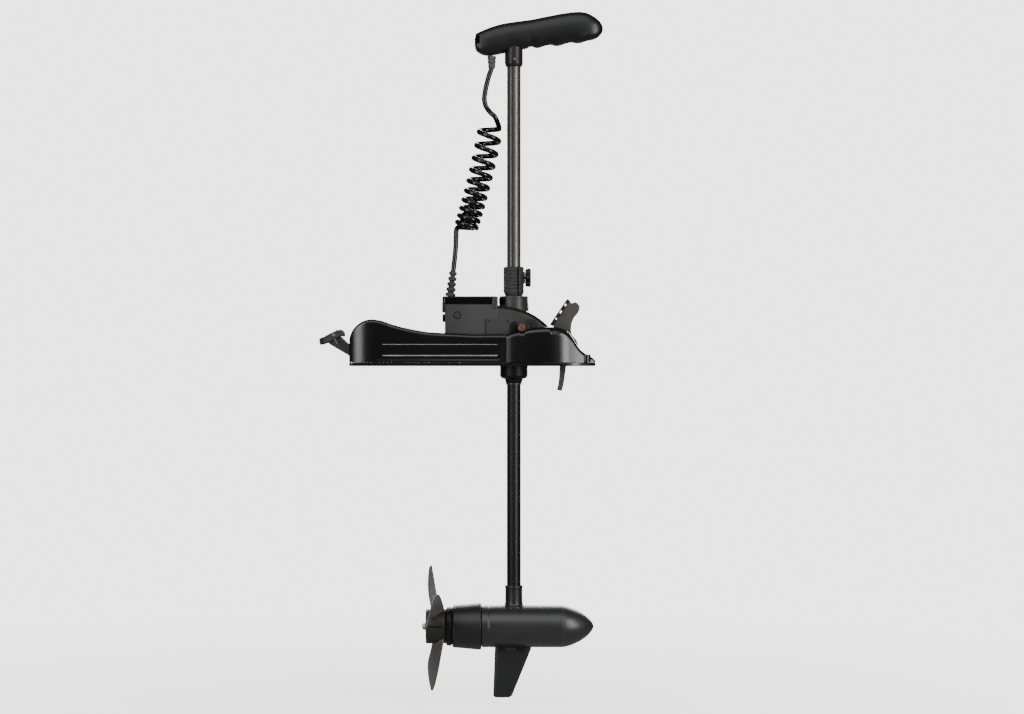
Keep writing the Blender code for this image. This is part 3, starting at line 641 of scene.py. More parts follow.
def recess(x, z, depth=1.3):
    """How far a rail's side is sunk at this place: a long panel with soft ends."""

    def ramp(value, start, end):
        t = min(max((value - start) / (end - start), 0), 1)
        return t * t * (3 - 2 * t)

    along = ramp(x, -104, -93) * (1 - ramp(x, 174, 180))
    up = ramp(z, 12, 15) * (1 - ramp(z, 53, 58))
    return depth * along * up


def wall_ring(x, top, inner, outer, sign, round_out, round_in, power, sunk=None):
    """A wall's closed section at x, with a rounded crown and, if wanted, a sunk panel outside."""
    tall = top - DECK_TOP
    round_out = min(round_out, tall * 0.7, (outer - inner) * 0.6)
    round_in = min(round_in, tall * 0.25, (outer - inner) * 0.25)
    ring = []
    for k in range(25):
        z = DECK_TOP + (tall - round_out) * k / 24
        ring.append((outer - (sunk(x, z) if sunk else 0), z))
    for k in range(1, 11):
        angle = math.pi / 2 * k / 10
        y = outer - round_out + round_out * math.cos(angle) ** (2 / power)
        z = top - round_out + round_out * math.sin(angle) ** (2 / power)
        ring.append((y, z))
    for k in range(7):
        angle = math.pi / 2 * (1 + k / 6)
        y = inner + round_in + round_in * math.cos(angle)
        ring.append((y, top - round_in + round_in * math.sin(angle)))
    ring += [(inner, DECK_TOP + 1), (inner + 0.5, DECK_TOP), (outer - 0.5, DECK_TOP)]
    return [(x, sign * y, z) for y, z in ring]


RAIL_INNER, RAIL_END = 54, 186
WALL_INNER_ROUND = 3
# Rows of x, top and outer face along a rail and along a front casting
RAIL = (
    (-158, 58, 55.8), (-156.8, 64, 57.2), (-152.5, 75, 59.8), (-146, 85, 62.6), (-136, 94, 65.8),
    (-122, 101, 68.6), (-107, 103, 69.8), (-89, 100.5, 70), (-67, 93, 70), (-38, 85, 70), (-9, 79, 70),
    (18, 75, 70), (50, 73, 70), (110, 70, 70), (150, 70, 70), (186, 70, 70),
)
CASTING = (
    (187, 69, 72), (200, 73, 75), (217, 77.5, 77), (240, 83, 79), (262, 85.5, 79), (284, 85.8, 78),
    (300, 85, 75.6), (312, 82, 72.6), (322, 76.5, 69), (331, 67, 65), (340, 51.5, 61), (351, 36.5, 56.5),
    (366, 25, 51), (378, 18.5, 47), (384, 11.2, 44),
)
# Places along a casting, and its inner face, its crown's width and the crown's power there
CASTING_INNER = ((284, 287, 322, 340, 351, 368, 384), (56, 44, 44, 43.5, 42, 32, 29))
CASTING_CROWN = ((187, 215, 260, 300, 340, 384), (10, 14, 24, 27, 18, 8))
CASTING_POWER = ((215, 250, 300), (2.2, 2.1, 2))


def rail(sign):
    name = side(sign)
    rings = []
    for x, top, out in smooth(RAIL, 6):
        if x <= RAIL_END:
            rings.append(wall_ring(x, top, RAIL_INNER, out, sign, 10, WALL_INNER_ROUND, 2.3, recess))
    made = loft(f"rail_shell_{name}", rings)
    # The tilt pin's end
    cut(made, pin(5 + GAP, *span(sign, 52, 62), (TILT_X, 0, TILT_Z), "y", 32))
    finish(made, GLOSS, "base", (f"side_rail_{name}",), sharp=50)
    for place, bottom, height in (("lower", 22, 2.4), ("upper", 47, 1.2)):
        stripe = rounded(corners(-84, bottom, 168, bottom + height), 0.6)
        made = prism(f"rail_pinstripe_{place}_{name}", [stripe], *span(sign, 68.75, 69.35), "y", 0.15, 1)
        finish(made, SILVER, "base")


def casting(sign):
    name = side(sign)
    reach = LATCH_R + GAP
    rings = []
    for x, top, out in smooth(CASTING, 9):
        away = abs(x - LATCH_X)
        if away < reach:
            top = min(top, LATCH_Z - math.sqrt(reach**2 - away**2))
        inner = np.interp(x, *CASTING_INNER)
        crown = np.interp(x, *CASTING_CROWN)
        power = np.interp(x, *CASTING_POWER)
        rings.append(wall_ring(x, top, inner, out, sign, crown, WALL_INNER_ROUND, power))
    made = loft(f"casting_shell_{name}", rings)
    join(made, pin(GUIDE_PIN_R, *span(sign, 22.5, 50), (GUIDE_X, 0, GUIDE_Z), "y", 32))
    if sign < 0:
        join(made, pin(HOOK_PIN_R, -62, -47.4, (HOOK_X, 0, HOOK_Z), "y"))
    finish(made, GLOSS, "base", (f"front_casting_{name}",), sharp=42)


def deck_plate():
    half = rounded([(-158, 46), (-158, 69), (186, 70), (235, 77)], 20, False, 8)[:-1]
    half += smooth([(235, 77), (290, 78), (335, 70), (365, 56), (384, 44)], 5)
    well = [(384, 44), (384, 28), (350, 28), (344, 46), (282, 46), (276, 35), (171, 35), (171, 30)]
    half += rounded(well, 4, False)[1:]
    half = [tuple(p)[:2] for p in half]
    outline = half + [(x, -y) for x, y in reversed(half)]
    made = prism("deck_plate_coated", [outline], 0, plate_high.z, "z", 1.2)
    # Holes for the deck screws
    for sign in (1, -1):
        for x, y, radius in ((-110, 62, 4.3), (364, 47, 3.8)):
            cut(made, pin(radius, -5, 20, (x, sign * y, 0), "z"))
    finish(made, GLOSS, "base", ("deck_plate",))


def deck_screws():
    """Cross-head screws, with a raised seat round each front one in the casting's falling edge."""
    for place, radius in (("front", 3.5), ("rear", 4)):
        for sign in (1, -1):
            node = f"deck_screw_{place}_{side(sign)}"
            x, y, _ = centre(node)
            top = box(node)[1].z
            profile = [(0, top), (3, top - 0.2), (5.2, top - 1.3), (6.4, top - 2.8), (6.5, top - 4)]
            profile += [(radius, top - 4), (radius, 0.5), (0, 0.5)]
            made = turned(f"{node}_head", profile, (x, y, 0), "z", 36)
            for wide, deep in ((4.2, 0.6), (0.6, 4.2)):
                cut(made, block("slot", (x - wide, y - deep, top - 1.8), (x + wide, y + deep, top + 2), 0))
            finish(made, STEEL, "base", (node,), sharp=30)
            if place == "front":
                seat = rounded(band(7.1, 9.4, DECK_TOP, 25.5), 1)
                made = turned(f"screw_boss_{side(sign)}", seat, (x, y, 0), "z", 48, True)
                finish(made, GLOSS, "base")


def base():
    deck_plate()
    for sign in (1, -1):
        rail(sign)
        casting(sign)
    deck_screws()
    finish(block("stow_bumper_pad", *box("stow_bumper"), 2.5, 4), RUBBER, "base", ("stow_bumper",))


# ---------------------------------------------------------------- pedal and guides

def leaning(foot, top, start, end, low, high):
    """A box's corners along the line from foot to top, low and high measured to the line's left."""
    foot, top = Vector(foot), Vector(top)
    along = (top - foot).normalized()
    out = Vector((-along.y, along.x))
    return [foot + along * a + out * b for a, b in corners(start, low, end, high)]


PEDAL_ARM = (
    (-138, 11.5), (-133.4, 13.4), (-131.5, 18), (-132, 24), (-133.5, 29.5), (-138, 32.3), (-143, 31.5),
    (-150, 38), (-177, 65.1), (-184, 62.1), (-204.5, 51.4), (-202, 48), (-149, 17), (-142.6, 13.4),
)
PEDAL_HOLLOW = ((-153, 25), (-190, 48.5), (-180, 57), (-152, 34))
TREAD = (
    (-222, 47), (-207, 50.5), (-184, 62.5), (-176, 66), (-172.5, 64.5), (-168.5, 67.5), (-170.5, 76),
    (-175.5, 80.5), (-184.5, 79.5), (-224.5, 59.5),
)
TREAD_DISH = ((-215, 55), (-207, 54), (-186, 66), (-178, 69.5), (-177, 74), (-184.5, 75.5), (-213, 61.5))
TREAD_LINE = ((-212, 65.4), (-184, 79.5))
TREAD_RIBS = 5


def pedal():
    outlines = [rounded(PEDAL_ARM, 3), circle(PEDAL_X, PEDAL_Z, 4 + GAP)]
    made = prism("pedal_lever", outlines, -41.5, -14.5, "y", 1.4)
    for low, high in ((-43, -38.5), (-17.5, -13)):
        cut(made, prism("hollow", [rounded(PEDAL_HOLLOW, 3)], low, high, "y", 0))
    # The stud that the pull rod hangs on
    join(made, pin(1.7, -53.4, -35, (PEDAL_X, 0, 28), "y", 20))
    finish(made, MATTE, "pedal", ("pedal_arm",))
    made = prism("pedal_tread", [rounded(TREAD, 4)], -50, -6, "y", 2.4, 4)
    for low, high in ((-51, -48.2), (-7.8, -5)):
        cut(made, prism("dish", [rounded(TREAD_DISH, 3)], low, high, "y", 0))
    finish(made, MATTE, "pedal", ("pedal_pad",))
    toe = rounded([(-222.6, 46.4), (-213.5, 48.4), (-215.5, 64.4), (-225, 60)], 3)
    finish(prism("pedal_toe", [toe], -50.8, -5.2, "y", 1.6), RUBBER, "pedal")
    wire = smooth([(-191, -51, 62), (-189, -51.4, 57), (-186, -51, 50), (-183.5, -47, 46)], 5)
    finish(tube("pedal_spring", wire, 1.8, 12), STEEL_DARK, "pedal")
    length = math.dist(*TREAD_LINE)
    for i in range(TREAD_RIBS):
        middle = length * (i + 0.5) / TREAD_RIBS
        rib = rounded(leaning(*TREAD_LINE, middle - 1.5, middle + 1.5, -1, 1.3), 0.8)
        finish(prism(f"tread_rib_{i + 1}", [rib], -48, -8, "y", 0.6), RUBBER, "pedal")
    rivet = [(0, -51.2), (3, -51), (4.4, -49.8), (4.4, -47), (0, -47)]
    finish(turned("tread_rivet", rivet, (-193, 0, 68), "y", 28), STEEL_DARK, "pedal")


GUIDE_BACK = (
    (325, 145), (328.5, 143), (330, 139.5), (333, 139), (340, 141), (346.5, 136.5), (349.5, 129), (346, 118),
    (338, 108), (333, 98), (330.5, 84), (332, 70), (342, 57), (345.5, 46), (341, 38), (331, 33), (323, 20),
    (319.5, 0), (317, -20), (313.5, -42), (309.5, -55),
)
GUIDE_FRONT = (
    (300, -53), (303.5, -40), (305.5, -20), (306.5, 0), (306, 20), (302, 50), (296.5, 75), (291, 93),
)
GUIDE_EDGE = ((289, 91), (325, 144.5))
GUIDE_WINDOWS = ((14, 5), (31, 8), (50, 7))


def guides():
    length = math.dist(*GUIDE_EDGE)
    back = [tuple(p) for p in smooth(GUIDE_BACK, 4)]
    front = [tuple(p) for p in smooth(GUIDE_FRONT, 4)]
    outline = leaning(*GUIDE_EDGE, 0, length, -2.5, 0)[:2] + back[1:] + front[:-1]
    hole = circle(GUIDE_X, GUIDE_Z, GUIDE_PIN_R + GAP)
    strip = [rounded(leaning(*GUIDE_EDGE, -1, length + 1.5, -2.6, 4.8), 1.6)]
    for start, size in GUIDE_WINDOWS:
        strip.append(rounded(leaning(*GUIDE_EDGE, start, start + size, -1.6, 2.1), 1.4))
    for sign in (1, -1):
        name, body = side(sign), f"guide_{side(sign)}"
        low, high = span(sign, 24, 36)
        made = prism(f"guide_plate_{name}", [outline, hole], low, high, "y", 1.6)
        finish(made, GUIDE, body, (f"stow_guide_{name}",))
        finish(prism(f"guide_strip_{name}", strip, low - 0.5, high + 0.5, "y", 0.7), RUBBER, body)


# ---------------------------------------------------------------- gearbox

CAP_PLACE = (79.5, 0, 112)
CHEEK_ARC = (
    (169.4, 133), (184, 132), (200, 129.8), (217, 125.5), (235, 119), (251, 110.5), (264, 101.5), (273, 94),
    (279.5, 88),
)
CHEEK_FOOT = ((279.5, 88), (277, 68), (261, 40), (244, 16), (169.4, 16), (169.4, 30))


def gearbox_shell():
    outline = rounded([(52, 26), (60, 18), (170, 18), (170, 136.7), (52, 136.7)], 3)
    made = prism("gearbox_case", [outline], -BOX_HALF, BOX_HALF, "y", 3, 4)
    join(made, block("case", (164, -39.7, 14), (242, 39.7, 112), 3))
    # Room for the electronics, and a bore that is wider round the steering gear
    sleeve = [(0, 140), (25.3, 140), (25.3, 64), (33, 64), (33, 46), (25.3, 46), (25.3, 0), (0, 0)]
    cut(made, block("cavity", (56, -43, 24), (166, 43, 133), 0), turned("bore", sleeve, SHAFT_LINE, "z", 64))
    finish(made, MATTE, "gearbox", ("gearbox_housing",), sharp=35)


def gearbox_lid():
    half = lid_high.y
    top = rounded(corners(lid_low.x, -half, lid_high.x, half), 9, True, 6)
    made = prism("gearbox_cover", [top], 137, lid_high.z, "z", 3, 4)
    join(made, block("flange", (lid_low.x, -half, 118), (51.7, half, 142), 2))
    finish(made, LID, "gearbox", ("gearbox_lid",), sharp=35)
    corner = rounded(corners(156.5, 127, 168, 152), 4)
    for sign in (1, -1):
        low, high = span(sign, BOX_HALF - 1, half + 0.3)
        finish(prism(f"cover_end_{side(sign)}", [corner], low, high, "y", 1.6, 4), SATIN_END, "gearbox")


def side_details(sign):
    """What stands out of one of the gearbox's sides: the screw cap, the cover plate and a seam."""
    name = side(sign)
    low, high = span(sign, BOX_HALF - 0.6, BOX_HALF + 0.9)
    ring = rounded(band(6.9, 8.6, low, high), 0.4)
    finish(turned(f"cap_ring_{name}", ring, CAP_PLACE, "y", 48, True), DARK, "gearbox")
    made = turned(f"screw_cap_{name}", rounded(disc(6.4, low, high), 0.5, False), CAP_PLACE, "y", 48)
    if sign < 0:
        cut(made, block("slot", (78.6, low - 3, 107), (80.4, low + 0.7, 117), 0))
    finish(made, MATTE, "gearbox")
    plate = rounded(corners(143.5, 66, 196, 104), 3)
    made = prism(f"side_cover_{name}", [plate], *span(sign, BOX_HALF, BOX_HALF + 1.4), "y", 0.7)
    finish(made, MATTE, "gearbox")
    low, high = span(sign, BOX_HALF + 1.2, BOX_HALF + 2.2)
    screw = rounded(disc(2.1, low, high), 0.4, False)
    for i, x in enumerate((148.5, 191)):
        made = turned(f"cover_screw_{name}_{i + 1}", screw, (x, 0, 99), "y", 24)
        finish(made, DARK, "gearbox")
    low, high = span(sign, BOX_HALF - 0.5, BOX_HALF + 1)
    finish(block(f"side_seam_{name}", (140.4, low, 68), (143.2, high, 104), 0.5), DARK, "gearbox")


def cheek(sign):
    """The plate that swings with the gearbox, its dark rim, and its latch pin and bracket."""
    name = side(sign)
    arc = [tuple(p) for p in smooth(CHEEK_ARC, 5)]
    outline = arc + [tuple(p) for p in rounded(CHEEK_FOOT, 4, False)[1:]]
    hole = circle(LATCH_X, LATCH_Z, LATCH_R + GAP)
    made = prism(f"cheek_plate_{name}", [outline, hole], *span(sign, 40, BOX_HALF), "y", 1.2)
    finish(made, MATTE, "gearbox", (f"cheek_{name}",))
    rim = arc + [(x - 1.2, z - 5.6) for x, z in reversed(arc)]
    made = prism(f"cheek_rim_{name}", [rim], *span(sign, BOX_HALF - 1, BOX_HALF + 1.6), "y", 1.2)
    finish(made, DARK, "gearbox")
    low, high = box(f"latch_pin_{name}")
    bar = rounded(disc(LATCH_R, low.y, high.y), 1.6, False)
    made = turned(f"latch_bar_{name}", bar, (LATCH_X, 0, LATCH_Z), "y", 48)
    finish(made, COPPER, "gearbox", (f"latch_pin_{name}",))
    bracket = rounded([(196, 74), (211, 74), (211, 99), (203, 99), (196, 91)], 3)
    made = prism(f"latch_bracket_{name}", [bracket], *span(sign, BOX_HALF, BOX_HALF + 4), "y", 1)
    finish(made, DARK, "gearbox")


def cord_gland(rings=5, radius=11.4, pitch=12, height=59):
    """Soft rings on a leaning sleeve, each a little narrower than the one below."""
    profile = [(0, 0.3), (radius, 0.3)]
    for i in range(rings):
        foot = 0.3 + pitch * i
        wide = radius - 0.6 * i
        profile += [(wide, foot), (wide, foot + 6.6), (wide - 4, foot + 8), (wide - 4, foot + 11)]
    profile = [(r, h) for r, h in profile if h <= height] + [(5.4, height), (0, height)]
    made = turned("cord_gland_ribs", rounded(profile, 1.2, False, 3), (0, 0, 0), "z", 40)
    foot = Vector((62, 30, lid_high.z + 1.2))
    made.data.transform(Matrix.Translation(foot * MM) @ Matrix.Rotation(math.atan2(7, height), 4, "Y"))
    finish(made, RUBBER_GREY, "gearbox", ("cord_gland",), sharp=50)


def power_inlet():
    _, y, z = centre("power_inlet")
    profile = rounded([(9, 51.7), (9, 46.5), (3.5, 46.5), (3.5, 61), (7, 61), (7, 51.7)], 0.9)
    made = turned("power_inlet_bush", profile, (0, y, z), "x", 40, True)
    finish(made, RUBBER, "gearbox", ("power_inlet",))


def gearbox():
    gearbox_shell()
    gearbox_lid()
    for sign in (1, -1):
        side_details(sign)
        cheek(sign)
    cord_gland()
    power_inlet()


def steering():
    bottom, top = collar_low.z, collar_high.z
    profile = [(33.3, bottom), (33.3, bottom + 5), (31.6, top - 5), (31.8, top - 4.4), (31.8, top), (16, top)]
    profile += [(16, bottom)]
    made = turned("steering_collar_shell", rounded(profile, 1.1), SHAFT_LINE, "z", 96, True)
    finish(made, COLLAR, "steering", ("steering_collar",))
    clip = rounded(band(31, 33.1, top - 17, top - 3.6), 0.5)
    made = turned("steering_collar_clip", clip, SHAFT_LINE, "z", 96, True)
    # The clip goes round the collar's rear only
    cut(made, block("front", (SHAFT_X - 18.5, -50, top - 30), (SHAFT_X + 50, 50, top + 9), 0))
    finish(made, DARK, "steering")
    profile = [(31, 13.5), (31, -22), (27, -27), (20, -28.5), (17.6, -38), (16, -38), (16, -27.3)]
    profile += [(20.3, -27.3), (20.3, 13.5)]
    made = turned("lower_collar_shell", rounded(profile, 1.3), SHAFT_LINE, "z", 96, True)
    finish(made, DARK, "steering", ("lower_collar",))
    wiper = rounded(band(16, 18.4, -41, -38.2), 0.7)
    made = turned("lower_wiper", wiper, SHAFT_LINE, "z", 72, True)
    finish(made, SATIN_END, "steering")


# ---------------------------------------------------------------- shaft, head and depth collar

def shaft(count=90, deep=1.2, groove_at=-104):
    """The shaft's tube, with a groove that faces the camera all the way up, its faces painted dark as painted
    shade.
    """
    groove = math.asin(1.7 / SHAFT_R)
    middle = math.radians(groove_at)
    step = (2 * math.pi - 2 * groove) / count
    section = [(SHAFT_R, middle + groove + i * step) for i in range(count + 1)]
    section += [(SHAFT_R - deep, middle + share * groove) for share in (-0.85, 0, 0.85)]
    outer = [(SHAFT_X + radius * math.cos(angle), radius * math.sin(angle)) for radius, angle in section]
    bore = circle(SHAFT_X, 0, 12.5, 48)
    made = prism("shaft_profile", [outer, bore], tube_low.z, tube_high.z, "z", 0)
    finish(made, SHAFT, "shaft", ("shaft_tube",), sharp=30)

    def in_painted_shade_groove(place, normal):
        sunk = SHAFT_R - math.hypot(place.x - SHAFT_X, place.y)
        return 0.3 < sunk < deep + 0.15 and abs(normal.z) < 0.5

    # The groove's faces take the dark material: painted shade in the recess.
    repaint(made, DARK, in_painted_shade_groove)


# Rows of x, lowest and highest z and half width along the head
HEAD_SHAPE = (
    (117, 708, 730, 12), (119, 701, 736, 17), (123, 696.5, 739.5, 20), (134, 690.5, 744.5, 23),
    (150, 689, 751, 25), (176, 693, 759, 26), (203, 700.5, 763.5, 26), (230, 703.5, 767, 25.3),
    (242, 709, 768.8, 24.8), (252, 706.2, 770.5, 24.6), (261, 706.6, 772.5, 24.4), (273, 710.5, 775, 24.2),
    (286, 713, 777.5, 24.2), (296, 710.6, 779.5, 24.3), (306, 711, 781.5, 24.4), (320, 715.5, 783.6, 24.8),
    (332, 718.2, 785.2, 25), (344, 716.4, 786, 25), (354, 717.2, 786, 24.8), (366, 721.4, 783.6, 23.8),
    (378, 723.6, 778.4, 21.8), (388, 727.5, 771.5, 18.6), (395, 732.5, 765, 14.6), (400, 739, 757.5, 9),
    (402, 745, 751.5, 3.5),
)


def powered(value, power):
    return math.copysign(abs(value) ** power, value)


def head_ring(x, low, high, half, count=56, waist_share=0.42):
    """The head's section at x: widest at its waist, fuller above it than below."""
    waist = low + (high - low) * waist_share
    ring = []
    for i in range(count):
        angle = 2 * math.pi * i / count
        c, s = math.cos(angle), math.sin(angle)
        power, reach = (0.72, high - waist) if s > 0 else (0.8, waist - low)
        ring.append((x, half * powered(c, power), waist + reach * powered(s, power)))
    return ring


def head():
    made = loft("head_cover", [head_ring(*row) for row in smooth(HEAD_SHAPE, 4)])
    cut(made, pin(20.8, 660, 722, SHAFT_LINE, "z", 64))
    # Dark recesses in the sides of its rear end
    notch = rounded(corners(110, 713.5, 128.5, 732), 1.5)
    for sign in (1, -1):
        cut(made, prism("notch", [notch], *span(sign, 13.5, 30), "y", 0))
    finish(made, HEAD, "shaft", ("head_shell",), sharp=55)
    repaint(made, LID, lambda place, _: place.x < 129 and 9 < abs(place.y) < 14.6 and 713 < place.z < 732.5)
    low, high = box("head_collar")
    bottom, top = low.z, high.z
    profile = [(20.5, top), (20.5, bottom + 7), (17.6, bottom), (16, bottom), (16, top)]
    made = turned("head_socket_sleeve", rounded(profile, 1), SHAFT_LINE, "z", 72, True)
    finish(made, SOCKET, "shaft", ("head_collar",))


def head_screw():
    low, high = box("head_screw")
    x, _, z = centre("head_screw")
    ring = rounded(band(4.2, 5.7, low.y + 0.6, high.y), 0.4)
    finish(turned("head_screw_ring", ring, (x, 0, z), "y", 40, True), DARK, "shaft")
    face = [(0, low.y), (2.4, low.y + 0.1), (3.9, low.y + 1), (3.9, high.y), (0, high.y)]
    made = turned("head_screw_face", face, (x, 0, z), "y", 32)
    for wide, tall in ((2.6, 0.45), (0.45, 2.6)):
        cut(made, block("slot", (x - wide, low.y - 2, z - tall), (x + wide, low.y + 1, z + tall), 0))
    finish(made, STEEL_DARK, "shaft", ("head_screw",), sharp=30)


def head_gland():
    profile = [(0, 27), (9.6, 27), (9.9, 22), (9.4, 19.6), (8.2, 19), (8.2, 17.6), (9.2, 17), (9.2, 12)]
    profile += [(8.6, 11), (7.4, 10.4), (7.4, 9), (8.2, 8.4), (8.2, 3), (7, 0), (0, 0)]
    middle = (centre("head_gland").x, 0, box("head_gland")[0].z)
    made = turned("head_gland_nut", rounded(profile, 0.7, False, 3), middle, "z", 40)
    finish(made, GLAND, "shaft", ("head_gland",), sharp=45)


def depth_clamp():
    """The ribbed collar that is stepped into rings and split on its near side, with the boss for its knob."""
    bottom, top = clamp_low.z, clamp_high.z

    def ribs(angle, height):
        if math.cos(angle) > 0.35 or not bottom + 9 < height < top - 2.2:
            return 0
        return 0.55 * math.cos(angle * 44)

    profile = [(16, bottom), (19, bottom), (22.4, bottom + 8)]
    rise = bottom + 9.4
    while rise < top - 3:
        profile += [(22.5, rise), (22.5, rise + 5.6), (21.5, rise + 6.2), (21.5, rise + 7.2)]
        rise += 7.8
    profile += [(22.4, top - 2), (21.4, top), (16, top)]
    made = turned("depth_collar_ribbed", profile, SHAFT_LINE, "z", 264, True, ribs)
    join(made, block("boss", (SHAFT_X + 18, -10, 183), (229, 10, 209), 1.5))
    cut(made, block("split", (SHAFT_X + 8, -26, bottom - 2), (SHAFT_X + 11, -8, top + 2), 0))
    cut(made, pin(3.8, 222, 235, (0, 0, 196), "x"))
    finish(made, MATTE, "depth_collar", ("depth_collar",), sharp=35)


def clamp_knob(lobes=6, lobe_depth=2.1):
    middle = (0, 0, centre("clamp_knob").z)
    profile = [(0, 229.3), (17.5, 229.3), (18.8, 230.2), (19.4, 232), (20.4, 236), (20.4, 239.5)]
    profile += [(19.2, 241.2), (17.2, 242), (0, 242)]

    def lobed(angle, _):
        return lobe_depth * math.cos(lobes * angle)

    made = turned("clamp_knob_lobed", profile, middle, "x", 96, False, lobed)
    cut(made, turned("dish", [(0, 244), (10.5, 244), (8.5, 240), (0, 240)], middle, "x", 40))
    join(made, pin(3.5, 221.5, 236, middle, "x"))
    finish(made, DARK, "knob", ("clamp_knob",), 40)
    face = rounded(disc(5.2, 239.4, 241.4), 0.6, False)
    finish(turned("knob_screw", face, middle, "x", 24), STEEL, "knob")


# ---------------------------------------------------------------- lower unit

def nose_radius(x):
    t = (x - motor_high.x) / (nose_high.x - motor_high.x)
    return MOTOR_R * max(1 - max(t, 0) ** 1.5, 0) ** 0.62


def motor():
    rear, front = motor_low.x, motor_high.x
    shell = [(MOTOR_R, front), (MOTOR_R, rear + 17), (MOTOR_R - 0.5, rear + 16), (MOTOR_R - 0.5, rear + 14.6)]
    shell += [(MOTOR_R, rear + 13.6), (MOTOR_R, rear), (42.5, rear), (42.5, front)]
    made = turned("motor_shell", rounded(shell, 0.5), MOTOR_LINE, "x", 128, True)
    finish(made, MOTOR, "shaft", ("motor_tube",))
    start = front + GAP
    curve = [nose_high.x - (nose_high.x - start) * (k / 30) ** 1.8 for k in range(1, 31)]
    nose = [(0, nose_high.x)] + [(nose_radius(x), x) for x in curve]
    nose += [(MOTOR_R - 0.8, start), (42.2, start), (42.2, 298), (12, 298), (12, 310), (0, 310)]
    made = turned("nose_shell", nose, MOTOR_LINE, "x", 128)
    finish(made, MOTOR, "shaft", ("nose_cone",), sharp=50)
    flare = box("rear_end_cap")[1].z - MOTOR_Z
    profile = [(42.2, 145), (42.2, 133), (flare, rear - 2), (51.9, rear - 7), (49.4, 100), (47, 71), (45, 68)]
    profile += [(13.3, 68), (13.3, 80), (34, 80), (34, 145)]
    made = turned("rear_cap_shell", rounded(profile, 1.2), MOTOR_LINE, "x", 128, True)
    finish(made, MOTOR_DARK, "shaft", ("rear_end_cap",), sharp=45)
    # A dark ring that closes the gap behind the propeller: painted shade of the gap.
    gap_shade_section = rounded(band(30, 40.5, 66.5, 69), 0.4)
    finish(turned("rear_cap_gap_shade_ring", gap_shade_section, MOTOR_LINE, "x", 96, True), RUBBER, "shaft")


def neck():
    top = box("shaft_neck")[1].z
    profile = [(19.75, top), (19.75, top - 5.4), (18.9, top - 6.2), (18.9, top - 34), (19.6, top - 40)]
    profile += [(21.5, top - 44), (24.5, top - 47), (24.5, top - 58), (16, top - 58), (16, top)]
    made = turned("neck_shell", rounded(profile, 0.9), SHAFT_LINE, "z", 96, True)
    # A saddle that sits on the motor
    cut(made, pin(MOTOR_R + 0.15, 150, 260, MOTOR_LINE, "x", 160))
    finish(made, MOTOR_DARK, "shaft", ("shaft_neck",), sharp=40)


def skeg(rows=26, count=28, foot=0.965):
    """A fin that thins downwards, with two dark blocks that stand in as painted shade of notches, and a
    bridge where it meets the motor.
    """
    top, bottom = skeg_high.z, skeg_low.z
    rings = []
    for k in range(rows + 1):
        share = k / rows
        rear = 162 - 4 * share + 4 * max(share - foot, 0) / (1 - foot)
        front = np.interp(share, [0, 0.03, foot, 1], [243, 242.5, 200, 194])
        half = 4 * (1 - 0.35 * share)
        ring = []
        for i in range(count):
            angle = 2 * math.pi * i / count
            x = (rear + front) / 2 + (front - rear) / 2 * powered(math.cos(angle), 0.5)
            ring.append((x, half * powered(math.sin(angle), 0.9), top + (bottom - top) * share))
        rings.append(ring)
    finish(loft("skeg_fin", rings), MOTOR_DARK, "shaft", ("skeg",), sharp=45)
    # Two dark rubber blocks at the fin's top: painted shade in place of two notches.
    for i, (low, high) in enumerate(((170, 184), (210, 228))):
        made = block(f"skeg_shade_block_{i + 1}", (low, -5.4, top - 9.5), (high, 5.4, top - 0.6), 1.2)
        finish(made, RUBBER, "shaft")
    finish(block("skeg_bridge", (184.5, -4.4, top - 4.5), (209.5, 4.4, top - 0.2), 1), MOTOR, "shaft")


# Rows of radius, middle x and half width along a blade
STATIONS = ((30, 37, 14), (42, 35.5, 14), (83, 27.3, 14.5), (110, 23, 12.2), (143, 18.9, 6.4), (160, 18, 1))
BLADE_ROOT = STATIONS[0][0]
BLADE_SPAN = STATIONS[-1][0] - BLADE_ROOT
# How far a tip trails its root in degrees, the pitch per radian, and the blades' angles in degrees
SWEEP = 54
PITCH = 34.6
ROOTS = (92, 212, 332)


def blade(number, root, rows=34, count=32):
    """A swept blade: airfoil sections wrapped on their cylinders, thick and filleted at the root."""
    columns = list(zip(*smooth(STATIONS, 12)))
    rings = []
    for k in range(rows + 1):
        share = 1 - (1 - k / rows) ** 1.35
        radius = BLADE_ROOT + BLADE_SPAN * share
        middle = np.interp(radius, columns[0], columns[1])
        half = max(np.interp(radius, columns[0], columns[2]), 0.8)
        pitch = math.atan2(PITCH, radius)
        chord = 2 * half / math.sin(pitch)
        thick = 4.2 - 2.6 * share + 5 * math.exp(-((radius - 34) / 5.5) ** 2)
        ring = []
        for i in range(count):
            angle = 2 * math.pi * i / count
            u = 0.5 * math.cos(angle)
            lens = abs(math.sin(angle)) ** 1.1 * (1 + 0.35 * math.cos(angle))
            v = math.copysign(0.5 * lens, math.sin(angle)) + 0.5 * (0.25 - u * u)
            along, lift = u * chord, v * thick
            around = (along * math.cos(pitch) + lift * math.sin(pitch)) / radius
            turn = math.radians(root - SWEEP * share**0.75) + around
            x = middle + along * math.sin(pitch) - lift * math.cos(pitch)
            ring.append((x, radius * math.sin(turn), MOTOR_Z + radius * math.cos(turn)))
        rings.append(ring)
    return loft(f"blade_{number}", rings)


